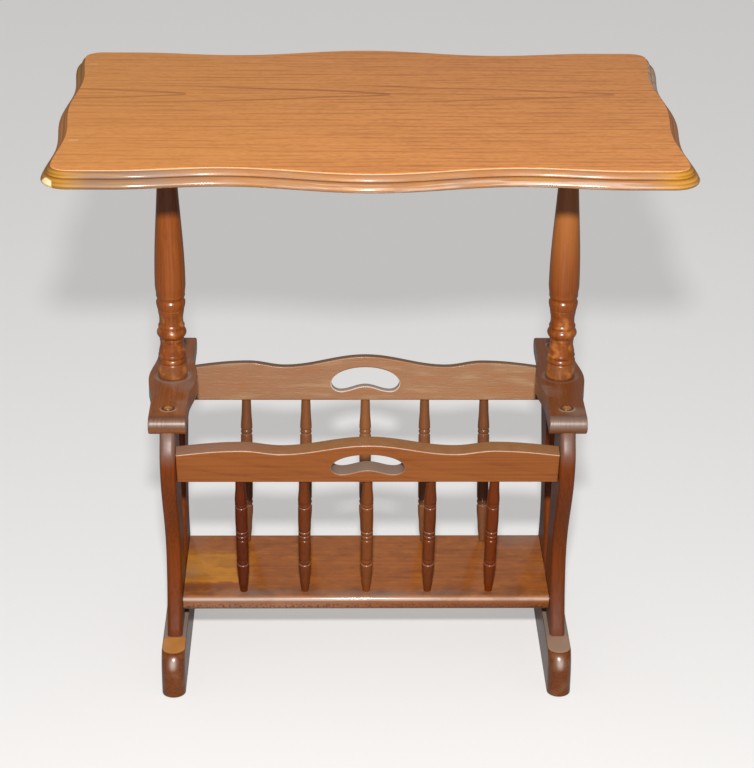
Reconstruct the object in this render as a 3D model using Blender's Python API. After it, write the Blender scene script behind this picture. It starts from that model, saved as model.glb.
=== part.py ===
"""Magazine stand.

A scalloped table top stands on two turned posts. Below it, two pairs of
S-shaped legs on runner feet carry a shelf and two leaning racks of turned
spindles, each rack under a shaped rail with a hand-hole.

Metres, +Z up. The origin is on the floor under the middle of the stand, and
the front looks along -Y. Sizes are real ones, and a table whose name ends in
SHARES holds shares of the sizes that it follows.
"""

import math

import bmesh
import bpy
from mathutils import Matrix, Vector

# Clearances and cutting
CLEARANCE = 0.0003
OVERRUN = 0.003
MERGE_DISTANCE = 0.000001

# Table top
TOP_LENGTH = 0.6096
TOP_DEPTH = 0.4064
TOP_HEIGHT = 0.601
TOP_THICKNESS = 0.0165
TOP_CORNER_RADIUS = 0.026
TOP_MOULDING_WIDTH = 0.010
FRONT_VALLEY_SAG = 0.0176
FRONT_LOBE_SAG = 0.009
SIDE_VALLEY_SAG = 0.0055
# Places along the half length and half depth where the edge curves turn
FRONT_VALLEY_SHARE = 0.453
FRONT_LOBE_SHARE = 0.787
SIDE_VALLEY_SHARE = 0.430
# The moulding from the flat down, as (inset, drop): shares of its width and of the top's thickness
TOP_LIP_SHARES = ((1.0, 0.0),)
TOP_UPPER_ROUND_SHARES = ((0.96, 0.036), (0.52, 0.333))
TOP_LOWER_ROUND_SHARES = ((0.58, 0.424), (0.0, 0.818))
TOP_RETURN_SHARES = ((0.06, 0.958), (0.15, 1.0))

# Posts, and the cleats that hold them under the top
POST_SPACING = 0.403
POST_DIAMETER = 0.0314
POST_FOOT_TENON_DIAMETER = 0.016
POST_FOOT_TENON_LENGTH = 0.014
POST_HEAD_TENON_DIAMETER = 0.0135
POST_HEAD_TENON_LENGTH = 0.013
CLEAT_WIDTH = 0.064
CLEAT_LENGTH = 0.230
CLEAT_THICKNESS = 0.019
CLEAT_EDGE_RADIUS = 0.004
CLEAT_SCREW_INSET_X = 0.014
CLEAT_SCREW_INSET_Y = 0.020

# Caps over the legs
CAP_HEIGHT = 0.309
CAP_THICKNESS = 0.019
CAP_LENGTH = 0.212
CAP_WIDTH = 0.038
CAP_BULGE = 0.0062
CAP_BULGE_LENGTH = 0.110
CAP_SCREW_REACH = 0.0785

# Legs and runners
LEG_THICKNESS = 0.0158
LEG_SHOULDER_DROP = 0.040
LEG_SHOULDER_MARGIN = 0.0215
LEG_TOP_SETBACK = 0.0165
LEG_WAIST_HEIGHT = 0.130
LEG_WAIST_REACH = 0.070
LEG_FOOT_REACH = 0.092
LEG_INNER_TOP_REACH = 0.046
LEG_INNER_FOOT_REACH = 0.011
RUNNER_LENGTH = 0.270
RUNNER_WIDTH = 0.0245
RUNNER_HEIGHT = 0.0485
RUNNER_TOE_ROLL = 0.010
RUNNER_SOLE_ROLL = 0.003
RUNNER_SCREW_REACH = 0.053

# Rails
RAIL_THICKNESS = 0.016
RAIL_REACH = 0.0935
RAIL_DROP = 0.0515
RAIL_CROWN_HEIGHT = 0.0481
RAIL_VALLEY_HEIGHT = 0.0368
RAIL_LOBE_HEIGHT = 0.0413
RAIL_END_HEIGHT = 0.0352
HAND_HOLE_WIDTH = 0.0740
HAND_HOLE_TOP = 0.0362
HAND_HOLE_MIDDLE = 0.0187
HAND_HOLE_SADDLE = 0.0155
HAND_HOLE_BOTTOM = 0.0100
# Places along the half length of the rail where its top edge turns
RAIL_VALLEY_SHARE = 0.453
RAIL_LOBE_SHARE = 0.657
# Place along the half width of the hand-hole where its lower edge is lowest
HAND_HOLE_LOBE_SHARE = 0.72

# Shelf and spindles
SHELF_TOP = 0.084
SHELF_THICKNESS = 0.016
SHELF_DEPTH = 0.139
SHELF_EDGE_RADIUS = 0.004
SPINDLE_COUNT = 5
SPINDLE_SPACING = 0.0648
SPINDLE_DIAMETER = 0.0136
SPINDLE_FOOT_MARGIN = 0.0147
SPINDLE_FOOT_TENON_DIAMETER = 0.0080
SPINDLE_HEAD_TENON_DIAMETER = 0.0074
SPINDLE_TENON_LENGTH = 0.011

# Dowels, screws and buttons
DOWEL_DIAMETER = 0.008
DOWEL_LEG_DEPTH = 0.009
DOWEL_INNER_DEPTH = 0.020
DOWEL_CHAMFER = 0.001
SCREW_HEAD_DIAMETER = 0.0084
SCREW_HEAD_HEIGHT = 0.003
SCREW_SHANK_DIAMETER = 0.0042
SCREW_TIP_LENGTH = 0.006
CLEAT_SCREW_GRIP = 0.010
LEG_SCREW_GRIP = 0.026
SCREW_BORE_DIAMETER = 0.0112
CAP_BORE_DEPTH = 0.0065
RUNNER_BORE_DEPTH = 0.018
BUTTON_DIAMETER = 0.0102
BUTTON_RISE = 0.0018

# Facets
POST_SEGMENTS = 14
SPINDLE_SEGMENTS = 8
SMALL_SEGMENTS = 8
BUTTON_SEGMENTS = 12
FRONT_STEPS = 9
CORNER_STEPS = 4
SIDE_STEPS = 6
ROUND_STEPS = 3
CURVE_STEPS = 8
TOE_STEPS = 8
NOSE_STEPS = 4
SMOOTH_ANGLE = math.radians(38)

# A turned outline: each row ends at a share of the length and of the radius, and swells
# by a share of the radius between its ends, in a number of steps
POST_START_SHARE = 0.95
POST_SHARES = (
    (0.003, 0.968, 0.0, 1),
    (0.062, 0.968, 0.0, 1),
    (0.064, 0.925, 0.0, 1),
    (0.086, 0.900, 0.045, 3),
    (0.107, 0.880, 0.040, 2),
    (0.142, 0.752, -0.030, 3),
    (0.153, 0.760, 0.0, 1),
    (0.154, 0.815, 0.0, 1),
    (0.162, 0.815, 0.0, 1),
    (0.212, 0.872, 0.135, 5),
    (0.241, 0.878, 0.052, 3),
    (0.282, 0.868, -0.022, 2),
    (0.284, 0.905, 0.0, 1),
    (0.296, 0.905, 0.0, 1),
    (0.298, 0.875, 0.0, 1),
    (0.341, 0.905, 0.078, 4),
    (0.409, 1.000, 0.0, 3),
    (0.985, 0.590, 0.0, 6),
    (1.000, 0.575, 0.0, 1),
)
SPINDLE_SHARES = (
    (0.015, 0.590, 0.0, 1),
    (0.110, 0.780, 0.010, 1),
    (0.225, 0.960, 0.0, 1),
    (0.237, 0.880, 0.0, 1),
    (0.272, 0.880, 0.100, 2),
    (0.300, 0.935, 0.0, 1),
    (0.425, 0.935, 0.025, 2),
    (0.447, 0.880, 0.0, 1),
    (0.485, 0.880, 0.085, 2),
    (0.522, 0.880, 0.085, 2),
    (0.560, 0.890, 0.085, 2),
    (0.700, 0.930, 0.065, 2),
    (0.710, 0.880, 0.0, 1),
    (0.755, 0.880, 0.100, 2),
    (0.780, 0.955, 0.0, 1),
    (0.935, 0.765, 0.0, 1),
    (1.000, 0.720, 0.0, 1),
)

# Places that follow from the sizes above
TOP_UNDERSIDE = TOP_HEIGHT - TOP_THICKNESS
CLEAT_TOP = TOP_UNDERSIDE - CLEARANCE
CLEAT_UNDERSIDE = CLEAT_TOP - CLEAT_THICKNESS
CAP_UNDERSIDE = CAP_HEIGHT - CAP_THICKNESS
POST_FOOT = CAP_HEIGHT + CLEARANCE
POST_LENGTH = CLEAT_UNDERSIDE - CLEARANCE - POST_FOOT
POST_X = POST_SPACING / 2
LEG_TOP = CAP_UNDERSIDE - CLEARANCE
LEG_FOOT = RUNNER_HEIGHT + CLEARANCE
LEG_INNER_FACE = POST_X - LEG_THICKNESS / 2
LEG_SHOULDER_HEIGHT = CAP_UNDERSIDE - LEG_SHOULDER_DROP
LEG_SHOULDER_REACH = RAIL_REACH + LEG_SHOULDER_MARGIN
RAIL_LENGTH = 2 * (LEG_INNER_FACE - CLEARANCE)
RAIL_UNDERSIDE = CAP_UNDERSIDE - RAIL_DROP
SPINDLE_FOOT_REACH = SHELF_DEPTH / 2 - SPINDLE_FOOT_MARGIN
RACK_RUN = RAIL_REACH - SPINDLE_FOOT_REACH
RACK_RISE = RAIL_UNDERSIDE - SHELF_TOP
RACK_LEAN = math.atan2(RACK_RUN, RACK_RISE)
SPINDLE_LENGTH = math.hypot(RACK_RUN, RACK_RISE) - CLEARANCE
SPINDLE_PLACES = [
    (index - (SPINDLE_COUNT - 1) / 2) * SPINDLE_SPACING for index in range(SPINDLE_COUNT)
]
RAIL_DOWEL_REACH = RAIL_REACH + math.sin(RACK_LEAN) * RAIL_END_HEIGHT / 2
RAIL_DOWEL_HEIGHT = RAIL_UNDERSIDE + math.cos(RACK_LEAN) * RAIL_END_HEIGHT / 2
SHELF_DOWEL_REACH = RUNNER_SCREW_REACH / 2
SHELF_DOWEL_HEIGHT = SHELF_TOP - SHELF_THICKNESS / 2
CORNERS = ((-1, -1), (1, -1), (1, 1), (-1, 1))
CLEAT_SCREW_PLACES = [
    (x * (CLEAT_WIDTH / 2 - CLEAT_SCREW_INSET_X), y * (CLEAT_LENGTH / 2 - CLEAT_SCREW_INSET_Y))
    for x, y in CORNERS
]
ORIGIN = (0, 0, 0)
UP = (0, 0, 1)
SIDES = (("left", -1), ("right", 1))
ENDS = (("front", -1), ("rear", 1))


def srgb(red, green, blue):
    """Linear colour of an 8-bit screen colour."""
    return [(value / 255) ** 2.2 for value in (red, green, blue)] + [1.0]


FINISHES = {
    "top_wood": (srgb(204, 132, 73), 0.30, 0.0),
    "post_wood": (srgb(139, 70, 28), 0.25, 0.0),
    "cap_wood": (srgb(130, 77, 38), 0.28, 0.0),
    "leg_wood": (srgb(138, 72, 30), 0.30, 0.0),
    "runner_wood": (srgb(122, 72, 30), 0.35, 0.0),
    "rail_wood": (srgb(176, 108, 54), 0.30, 0.0),
    "spindle_wood": (srgb(126, 58, 18), 0.30, 0.0),
    "shelf_wood": (srgb(160, 98, 47), 0.35, 0.0),
    "button_wood": (srgb(96, 48, 22), 0.30, 0.0),
    "cleat_wood": (srgb(170, 120, 70), 0.60, 0.0),
    "dowel_wood": (srgb(200, 165, 115), 0.65, 0.0),
    "screw_steel": (srgb(150, 148, 145), 0.40, 1.0),
}


def ease(share):
    """Half a cosine wave from 0 to 1."""
    return (1 - math.cos(math.pi * share)) / 2


def late_ease(share):
    """A quarter of a cosine wave from 0 to 1, level at its start."""
    return 1 - math.cos(math.pi * share / 2)


def between(low, high, share):
    return low + (high - low) * share


def finish(name):
    """The named material, made once."""
    if name in bpy.data.materials:
        return bpy.data.materials[name]
    colour, roughness, metallic = FINISHES[name]
    material = bpy.data.materials.new(name)
    material.use_nodes = True
    shader = material.node_tree.nodes["Principled BSDF"]
    shader.inputs["Base Color"].default_value = colour
    shader.inputs["Roughness"].default_value = roughness
    shader.inputs["Metallic"].default_value = metallic
    material.diffuse_color = colour
    return material


def add_object(name, shape, finish_name, parent, location=ORIGIN, rotation=ORIGIN):
    """Turn a bmesh into a named, placed object with its faces pointing out."""
    bmesh.ops.recalc_face_normals(shape, faces=shape.faces)
    mesh = bpy.data.meshes.new(name)
    shape.to_mesh(mesh)
    shape.free()
    mesh.materials.append(finish(finish_name))
    mesh.shade_smooth()
    mesh.set_sharp_from_angle(angle=SMOOTH_ANGLE)
    piece = bpy.data.objects.new(name, mesh)
    bpy.context.scene.collection.objects.link(piece)
    piece.parent = parent
    piece.location = location
    piece.rotation_euler = rotation
    return piece


def cut(piece, cutter_shape, cutter_name):
    """Subtract a shape, given in the piece's own frame, from the piece."""
    cutter = add_object(cutter_name, cutter_shape, "screw_steel", piece)
    cutter.hide_render = True
    cutter.display_type = "WIRE"
    boolean = piece.modifiers.new(cutter_name, "BOOLEAN")
    boolean.operation = "DIFFERENCE"
    boolean.solver = "EXACT"
    boolean.object = cutter


def add_turned(shape, profile, segments, place):
    """Spin (radius, height) points round +Z into one closed body, then place it."""
    known = set(shape.verts)
    line = [shape.verts.new((radius, 0, height)) for radius, height in profile]
    edges = [shape.edges.new(pair) for pair in zip(line, line[1:])]
    bmesh.ops.spin(
        shape,
        geom=line + edges,
        cent=(0, 0, 0),
        axis=(0, 0, 1),
        angle=math.tau,
        steps=segments,
        use_merge=True,
    )
    made = [vert for vert in shape.verts if vert not in known]
    bmesh.ops.remove_doubles(shape, verts=made, dist=MERGE_DISTANCE)
    made = [vert for vert in shape.verts if vert not in known]
    bmesh.ops.transform(shape, matrix=place, verts=made)


def turned(profile, segments):
    shape = bmesh.new()
    add_turned(shape, profile, segments, Matrix.Identity(4))
    return shape


def drill(piece, holes):
    """Cut round holes, each a mouth, a direction inwards and (radius, depth) points."""
    shape = bmesh.new()
    # The flats of a faceted hole lie at its radius, so that a round peg clears them
    widen = 1 / math.cos(math.pi / SMALL_SEGMENTS)
    for mouth, direction, steps in holes:
        steps = [(radius * widen, depth) for radius, depth in steps]
        profile = [(0, -OVERRUN), (steps[0][0], -OVERRUN)] + steps + [(0, steps[-1][1])]
        turn = Vector(direction).to_track_quat("Z", "Y").to_matrix().to_4x4()
        add_turned(shape, profile, SMALL_SEGMENTS, Matrix.Translation(mouth) @ turn)
    cut(piece, shape, piece.name + "_drill")


def round_hole(diameter, depth):
    """Steps of a blind hole that clears a peg of this diameter and depth."""
    radius = diameter / 2 + CLEARANCE
    return ((radius, depth + CLEARANCE),)


def screw_hole(bore_depth, thickness):
    """Steps of a hole through a board: a bore, the screw head's seat and the shank's hole."""
    head_radius = SCREW_HEAD_DIAMETER / 2 + CLEARANCE
    shank_radius = SCREW_SHANK_DIAMETER / 2 + CLEARANCE
    seat = [(head_radius, bore_depth), (shank_radius, bore_depth + SCREW_HEAD_HEIGHT)]
    bore = [(SCREW_BORE_DIAMETER / 2, bore_depth)] if bore_depth else []
    return bore + seat + [(shank_radius, thickness + OVERRUN)]


def screw_shape(length):
    """A flat-headed wood screw that points along +Z."""
    head_radius = SCREW_HEAD_DIAMETER / 2
    shank_radius = SCREW_SHANK_DIAMETER / 2
    profile = (
        (0, 0),
        (head_radius, 0),
        (shank_radius, SCREW_HEAD_HEIGHT),
        (shank_radius, length - SCREW_TIP_LENGTH),
        (0, length),
    )
    return turned(profile, SMALL_SEGMENTS)


def dowel_shape():
    """A chamfered dowel along +Z, from its end in the leg to its end in the board."""
    radius = DOWEL_DIAMETER / 2
    length = DOWEL_LEG_DEPTH + DOWEL_INNER_DEPTH
    profile = (
        (0, 0),
        (radius - DOWEL_CHAMFER, 0),
        (radius, DOWEL_CHAMFER),
        (radius, length - DOWEL_CHAMFER),
        (radius - DOWEL_CHAMFER, length),
        (0, length),
    )
    return turned(profile, SMALL_SEGMENTS)


def turned_outline(length, radius, start, rows):
    """(radius, height) points along the rows of a turned outline."""
    points = [(start * radius, 0)]
    last_height, last_radius = 0, start
    for end_height, end_radius, swell, steps in rows:
        for step in range(1, steps + 1):
            turn = step / steps
            along = ease(turn) if steps > 1 else turn
            wide = between(last_radius, end_radius, ease(along)) + swell * math.sin(math.pi * turn)
            points.append((wide * radius, between(last_height, end_height, along) * length))
        last_height, last_radius = end_height, end_radius
    return points


def add_stack(shape, rings):
    """Skin a stack of rings, each with as many points, and close both ends."""
    loops = [[shape.verts.new(point) for point in ring] for ring in rings]
    for lower, upper in zip(loops, loops[1:]):
        for index in range(len(lower)):
            after = (index + 1) % len(lower)
            shape.faces.new((lower[index], lower[after], upper[after], upper[index]))
    shape.faces.new(loops[0])
    shape.faces.new(loops[-1])


def prism(outline, thickness):
    """Extrude an outline of (x, z) points along Y, centred on its thickness."""
    shape = bmesh.new()
    face = shape.faces.new([shape.verts.new((x, -thickness / 2, z)) for x, z in outline])
    pushed = bmesh.ops.extrude_face_region(shape, geom=[face])
    verts = [item for item in pushed["geom"] if isinstance(item, bmesh.types.BMVert)]
    bmesh.ops.translate(shape, verts=verts, vec=(0, thickness, 0))
    return shape


def board(half_x, half_y, thickness, lower_radius, upper_radius, all_edges):
    """A board standing on z = 0 whose edges along X, or all its edges, are rounded."""
    steps = [math.pi / 2 * step / ROUND_STEPS for step in range(ROUND_STEPS + 1)]
    levels = [
        (lower_radius * (1 - math.sin(angle)), lower_radius * (1 - math.cos(angle)))
        for angle in steps
    ]
    if upper_radius:
        levels += [
            (upper_radius * (1 - math.cos(angle)), thickness - upper_radius * (1 - math.sin(angle)))
            for angle in steps
        ]
    else:
        levels.append((0, thickness))
    rings = []
    for inset, height in levels:
        wide = half_x - inset if all_edges else half_x
        deep = half_y - inset
        rings.append([(x * wide, y * deep, height) for x, y in CORNERS])
    shape = bmesh.new()
    add_stack(shape, rings)
    return shape


def four_fold(quadrant):
    """Mirror a run of points from the +X axis to the +Y axis into a closed outline."""
    rear = quadrant + [(-x, y) for x, y in reversed(quadrant)][1:]
    front = [(-x, -y) for x, y in rear][1:-1]
    return rear + front


def inset_outline(outline, inset):
    """Move each point of a closed outline inwards along its normal."""
    moved = []
    for index, (x, y) in enumerate(outline):
        before = Vector(outline[index - 1])
        after = Vector(outline[(index + 1) % len(outline)])
        along = (after - before).normalized()
        moved.append((x - along.y * inset, y + along.x * inset))
    return moved


def quarter_round(start, end, steps):
    """Points of a quarter ellipse that leaves level and lands upright."""
    points = []
    for step in range(steps + 1):
        angle = math.pi / 2 * step / steps
        across = between(start[0], end[0], math.sin(angle))
        points.append((across, between(end[1], start[1], math.cos(angle))))
    return points


def spread(low, high, steps):
    return [between(low, high, step / steps) for step in range(steps + 1)]


def front_sag(x):
    """How far the front and rear edges of the top lie inside its depth."""
    valley, lobe = FRONT_VALLEY_SHARE * TOP_LENGTH / 2, FRONT_LOBE_SHARE * TOP_LENGTH / 2
    if x < valley:
        return FRONT_VALLEY_SAG * ease(x / valley)
    share = min((x - valley) / (lobe - valley), 1)
    return between(FRONT_VALLEY_SAG, FRONT_LOBE_SAG, ease(share))


def side_sag(y, corner):
    """How far the side edges of the top lie inside its length."""
    valley = SIDE_VALLEY_SHARE * TOP_DEPTH / 2
    if y < valley:
        return SIDE_VALLEY_SAG * ease(y / valley)
    return SIDE_VALLEY_SAG * (1 - ease((y - valley) / (corner - valley)))


def top_outline():
    """The widest outline of the top: a lobe in the middle of each edge, between valleys."""
    half_length, half_depth = TOP_LENGTH / 2, TOP_DEPTH / 2
    corner_x = half_length - TOP_CORNER_RADIUS
    corner_y = half_depth - FRONT_LOBE_SAG - TOP_CORNER_RADIUS
    quadrant = []
    for y in spread(0, corner_y, SIDE_STEPS)[:-1]:
        quadrant.append((half_length - side_sag(y, corner_y), y))
    for angle in spread(0, math.pi / 2, CORNER_STEPS)[:-1]:
        x = corner_x + TOP_CORNER_RADIUS * math.cos(angle)
        quadrant.append((x, corner_y + TOP_CORNER_RADIUS * math.sin(angle)))
    for x in spread(corner_x, 0, FRONT_STEPS):
        quadrant.append((x, half_depth - front_sag(x)))
    return four_fold(quadrant)


def build_top(root):
    """The table top with its stepped moulding, and blind holes for the cleats' screws."""
    path = list(TOP_LIP_SHARES)
    path += quarter_round(*TOP_UPPER_ROUND_SHARES, ROUND_STEPS)
    path += quarter_round(*TOP_LOWER_ROUND_SHARES, ROUND_STEPS + 1)
    path += TOP_RETURN_SHARES
    outline = top_outline()
    rings = []
    for inset_share, drop_share in path:
        height = TOP_HEIGHT - drop_share * TOP_THICKNESS
        ring = inset_outline(outline, inset_share * TOP_MOULDING_WIDTH)
        rings.append([(x, y, height) for x, y in ring])
    shape = bmesh.new()
    add_stack(shape, rings)
    top = add_object("table_top", shape, "top_wood", root)
    steps = round_hole(SCREW_SHANK_DIAMETER, CLEAT_SCREW_GRIP)
    holes = []
    for _, side in SIDES:
        for x, y in CLEAT_SCREW_PLACES:
            holes.append(((side * POST_X + x, y, TOP_UNDERSIDE), UP, steps))
    drill(top, holes)


def build_cleats(root):
    """The board under the top on each post, rounded below, with its four screws."""
    length = CLEAT_THICKNESS + CLEAT_SCREW_GRIP
    for name, side in SIDES:
        x = side * POST_X
        shape = board(CLEAT_WIDTH / 2, CLEAT_LENGTH / 2, CLEAT_THICKNESS, CLEAT_EDGE_RADIUS, 0, True)
        place = (x, 0, CLEAT_UNDERSIDE)
        cleat = add_object(f"top_cleat_{name}", shape, "cleat_wood", root, place)
        holes = [(ORIGIN, UP, round_hole(POST_HEAD_TENON_DIAMETER, POST_HEAD_TENON_LENGTH))]
        for across, along in CLEAT_SCREW_PLACES:
            holes.append(((across, along, 0), UP, screw_hole(0, CLEAT_THICKNESS)))
        drill(cleat, holes)
        for number, (across, along) in enumerate(CLEAT_SCREW_PLACES, start=1):
            place = (x + across, along, CLEAT_UNDERSIDE)
            label = f"cleat_screw_{name}_{number}"
            add_object(label, screw_shape(length), "screw_steel", root, place)


def build_posts(root):
    """The turned posts, with a tenon at each end."""
    foot_radius = POST_FOOT_TENON_DIAMETER / 2
    head_radius = POST_HEAD_TENON_DIAMETER / 2
    head_top = POST_LENGTH + POST_HEAD_TENON_LENGTH
    profile = [(0, -POST_FOOT_TENON_LENGTH), (foot_radius, -POST_FOOT_TENON_LENGTH), (foot_radius, 0)]
    profile += turned_outline(POST_LENGTH, POST_DIAMETER / 2, POST_START_SHARE, POST_SHARES)
    profile += [(head_radius, POST_LENGTH), (head_radius, head_top), (0, head_top)]
    for name, side in SIDES:
        shape = turned(profile, POST_SEGMENTS)
        add_object(f"post_{name}", shape, "post_wood", root, (side * POST_X, 0, POST_FOOT))


def cap_half_width(y):
    """The cap's sides run straight, and swell round the post's foot."""
    share = min(abs(y) / (CAP_BULGE_LENGTH / 2), 1)
    return CAP_WIDTH / 2 + CAP_BULGE * math.cos(math.pi / 2 * share) ** 2


def build_caps(root):
    """The board over each pair of legs, half-round at both noses."""
    nose = CAP_THICKNESS / 2
    sections = [(y, nose) for y in spread(0, CAP_BULGE_LENGTH / 2, CURVE_STEPS)]
    # The last facet of the nose stands upright, so its angle stops half a step short
    for step in range(NOSE_STEPS + 1):
        angle = math.pi / 2 * step / (NOSE_STEPS + 1 / 2)
        sections.append((CAP_LENGTH / 2 - nose * (1 - math.sin(angle)), nose * math.cos(angle)))
    sections = [(-y, half) for y, half in reversed(sections)] + sections[1:]
    rings = []
    for y, half in sections:
        wide = cap_half_width(y)
        rings.append([(x * wide, y, nose + z * half) for x, z in CORNERS])
    down = (0, 0, -1)
    holes = [((0, 0, CAP_THICKNESS), down, round_hole(POST_FOOT_TENON_DIAMETER, POST_FOOT_TENON_LENGTH))]
    for _, end in ENDS:
        mouth = (0, end * CAP_SCREW_REACH, CAP_THICKNESS)
        holes.append((mouth, down, screw_hole(CAP_BORE_DEPTH, CAP_THICKNESS)))
    for name, side in SIDES:
        shape = bmesh.new()
        add_stack(shape, rings)
        place = (side * POST_X, 0, CAP_UNDERSIDE)
        cap = add_object(f"cap_{name}", shape, "cap_wood", root, place)
        drill(cap, holes)
        build_cap_fixings(root, name, side)


def build_cap_fixings(root, name, side):
    """A screw through each end of a cap into its leg, under a domed button."""
    length = CAP_THICKNESS - CAP_BORE_DEPTH + LEG_SCREW_GRIP
    radius = BUTTON_DIAMETER / 2
    foot = CLEARANCE - CAP_BORE_DEPTH
    profile = [(0, foot), (radius, foot)]
    for angle in spread(0, math.pi / 2, ROUND_STEPS)[:-1]:
        profile.append((radius * math.cos(angle), BUTTON_RISE * math.sin(angle)))
    profile.append((0, BUTTON_RISE))
    for end_name, end in ENDS:
        x, y = side * POST_X, end * CAP_SCREW_REACH
        place = (x, y, CAP_HEIGHT - CAP_BORE_DEPTH)
        label = f"cap_screw_{end_name}_{name}"
        add_object(label, screw_shape(length), "screw_steel", root, place, (math.pi, 0, 0))
        button = turned(profile, BUTTON_SEGMENTS)
        label = f"cap_button_{end_name}_{name}"
        add_object(label, button, "button_wood", root, (x, y, CAP_HEIGHT))


def leg_outer_reach(height):
    """The leg's outer edge: out to the shoulder under the cap, in to the waist, out to the foot."""
    if height > LEG_SHOULDER_HEIGHT:
        share = (height - LEG_SHOULDER_HEIGHT) / (LEG_TOP - LEG_SHOULDER_HEIGHT)
        return LEG_SHOULDER_REACH - LEG_TOP_SETBACK * late_ease(share)
    if height > LEG_WAIST_HEIGHT:
        share = (height - LEG_WAIST_HEIGHT) / (LEG_SHOULDER_HEIGHT - LEG_WAIST_HEIGHT)
        return between(LEG_WAIST_REACH, LEG_SHOULDER_REACH, ease(share))
    share = (LEG_WAIST_HEIGHT - height) / (LEG_WAIST_HEIGHT - LEG_FOOT)
    return between(LEG_WAIST_REACH, LEG_FOOT_REACH, late_ease(share))


def leg_inner_reach(height):
    """The leg's inner edge, which leaves a slot that widens upwards between two legs."""
    share = (height - LEG_FOOT) / (LEG_TOP - LEG_FOOT)
    return between(LEG_INNER_FOOT_REACH, LEG_INNER_TOP_REACH, ease(share))


def build_legs(root):
    """Four S-shaped boards: local x is the reach from the middle, local y the thickness."""
    heights = spread(LEG_FOOT, LEG_WAIST_HEIGHT, ROUND_STEPS + 1)[:-1]
    heights += spread(LEG_WAIST_HEIGHT, LEG_SHOULDER_HEIGHT, CURVE_STEPS)[:-1]
    heights += spread(LEG_SHOULDER_HEIGHT, LEG_TOP, ROUND_STEPS + 1)
    outline = [(leg_outer_reach(height), height) for height in heights]
    outline += [(leg_inner_reach(height), height) for height in spread(LEG_TOP, LEG_FOOT, CURVE_STEPS)]
    peg = round_hole(DOWEL_DIAMETER, DOWEL_LEG_DEPTH)
    screw = round_hole(SCREW_SHANK_DIAMETER, LEG_SCREW_GRIP)
    for name, side in SIDES:
        for end_name, end in ENDS:
            place = (side * POST_X, 0, 0)
            turn = (0, 0, end * math.pi / 2)
            label = f"leg_{end_name}_{name}"
            leg = add_object(label, prism(outline, LEG_THICKNESS), "leg_wood", root, place, turn)
            inner = side * end
            face = inner * LEG_THICKNESS / 2
            holes = [
                ((SHELF_DOWEL_REACH, face, SHELF_DOWEL_HEIGHT), (0, -inner, 0), peg),
                ((RAIL_DOWEL_REACH, face, RAIL_DOWEL_HEIGHT), (0, -inner, 0), peg),
                ((CAP_SCREW_REACH, 0, LEG_TOP), (0, 0, -1), screw),
                ((RUNNER_SCREW_REACH, 0, LEG_FOOT), UP, screw),
            ]
            drill(leg, holes)


def runner_ring(inset, height):
    """A runner's plan at one height; the inset is full at the toe's tip and fades to its sides."""
    radius = RUNNER_WIDTH / 2
    centre = RUNNER_LENGTH / 2 - radius
    rear = []
    for angle in spread(math.pi / 2, -math.pi / 2, TOE_STEPS):
        reach = radius - inset * math.cos(angle) ** 2
        rear.append((reach * math.sin(angle), centre + reach * math.cos(angle), height))
    return rear + [(-x, -y, z) for x, y, z in rear]


def build_runners(root):
    """The foot under each pair of legs, with round toes that roll over at the top."""
    rings = []
    for angle in spread(0, math.pi / 2, 2):
        inset = RUNNER_SOLE_ROLL * (1 - math.sin(angle))
        rings.append(runner_ring(inset, RUNNER_SOLE_ROLL * (1 - math.cos(angle))))
    for angle in spread(0, math.pi / 2, ROUND_STEPS + 1):
        inset = RUNNER_TOE_ROLL * (1 - math.cos(angle))
        rings.append(runner_ring(inset, RUNNER_HEIGHT - RUNNER_TOE_ROLL * (1 - math.sin(angle))))
    length = RUNNER_HEIGHT - RUNNER_BORE_DEPTH + LEG_SCREW_GRIP
    bore = screw_hole(RUNNER_BORE_DEPTH, RUNNER_HEIGHT)
    for name, side in SIDES:
        shape = bmesh.new()
        add_stack(shape, rings)
        x = side * POST_X
        runner = add_object(f"runner_{name}", shape, "runner_wood", root, (x, 0, 0))
        drill(runner, [((0, end * RUNNER_SCREW_REACH, 0), UP, bore) for _, end in ENDS])
        for end_name, end in ENDS:
            place = (x, end * RUNNER_SCREW_REACH, RUNNER_BORE_DEPTH)
            label = f"runner_screw_{end_name}_{name}"
            add_object(label, screw_shape(length), "screw_steel", root, place)


def rail_outline():
    """The rail seen square on: a crown, a valley and a lobe on each half of its top edge."""
    half = RAIL_LENGTH / 2
    valley, lobe = RAIL_VALLEY_SHARE * half, RAIL_LOBE_SHARE * half
    edge = []
    for share in spread(0, 1, CURVE_STEPS - 2):
        edge.append((valley * share, between(RAIL_CROWN_HEIGHT, RAIL_VALLEY_HEIGHT, ease(share))))
    for share in spread(0, 1, ROUND_STEPS)[1:]:
        height = between(RAIL_VALLEY_HEIGHT, RAIL_LOBE_HEIGHT, ease(share))
        edge.append((between(valley, lobe, share), height))
    for share in spread(0, 1, ROUND_STEPS + 1)[1:]:
        height = between(RAIL_LOBE_HEIGHT, RAIL_END_HEIGHT, late_ease(share))
        edge.append((between(lobe, half, share), height))
    return [(half, 0)] + edge[::-1] + [(-x, height) for x, height in edge[1:]] + [(-half, 0)]


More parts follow.
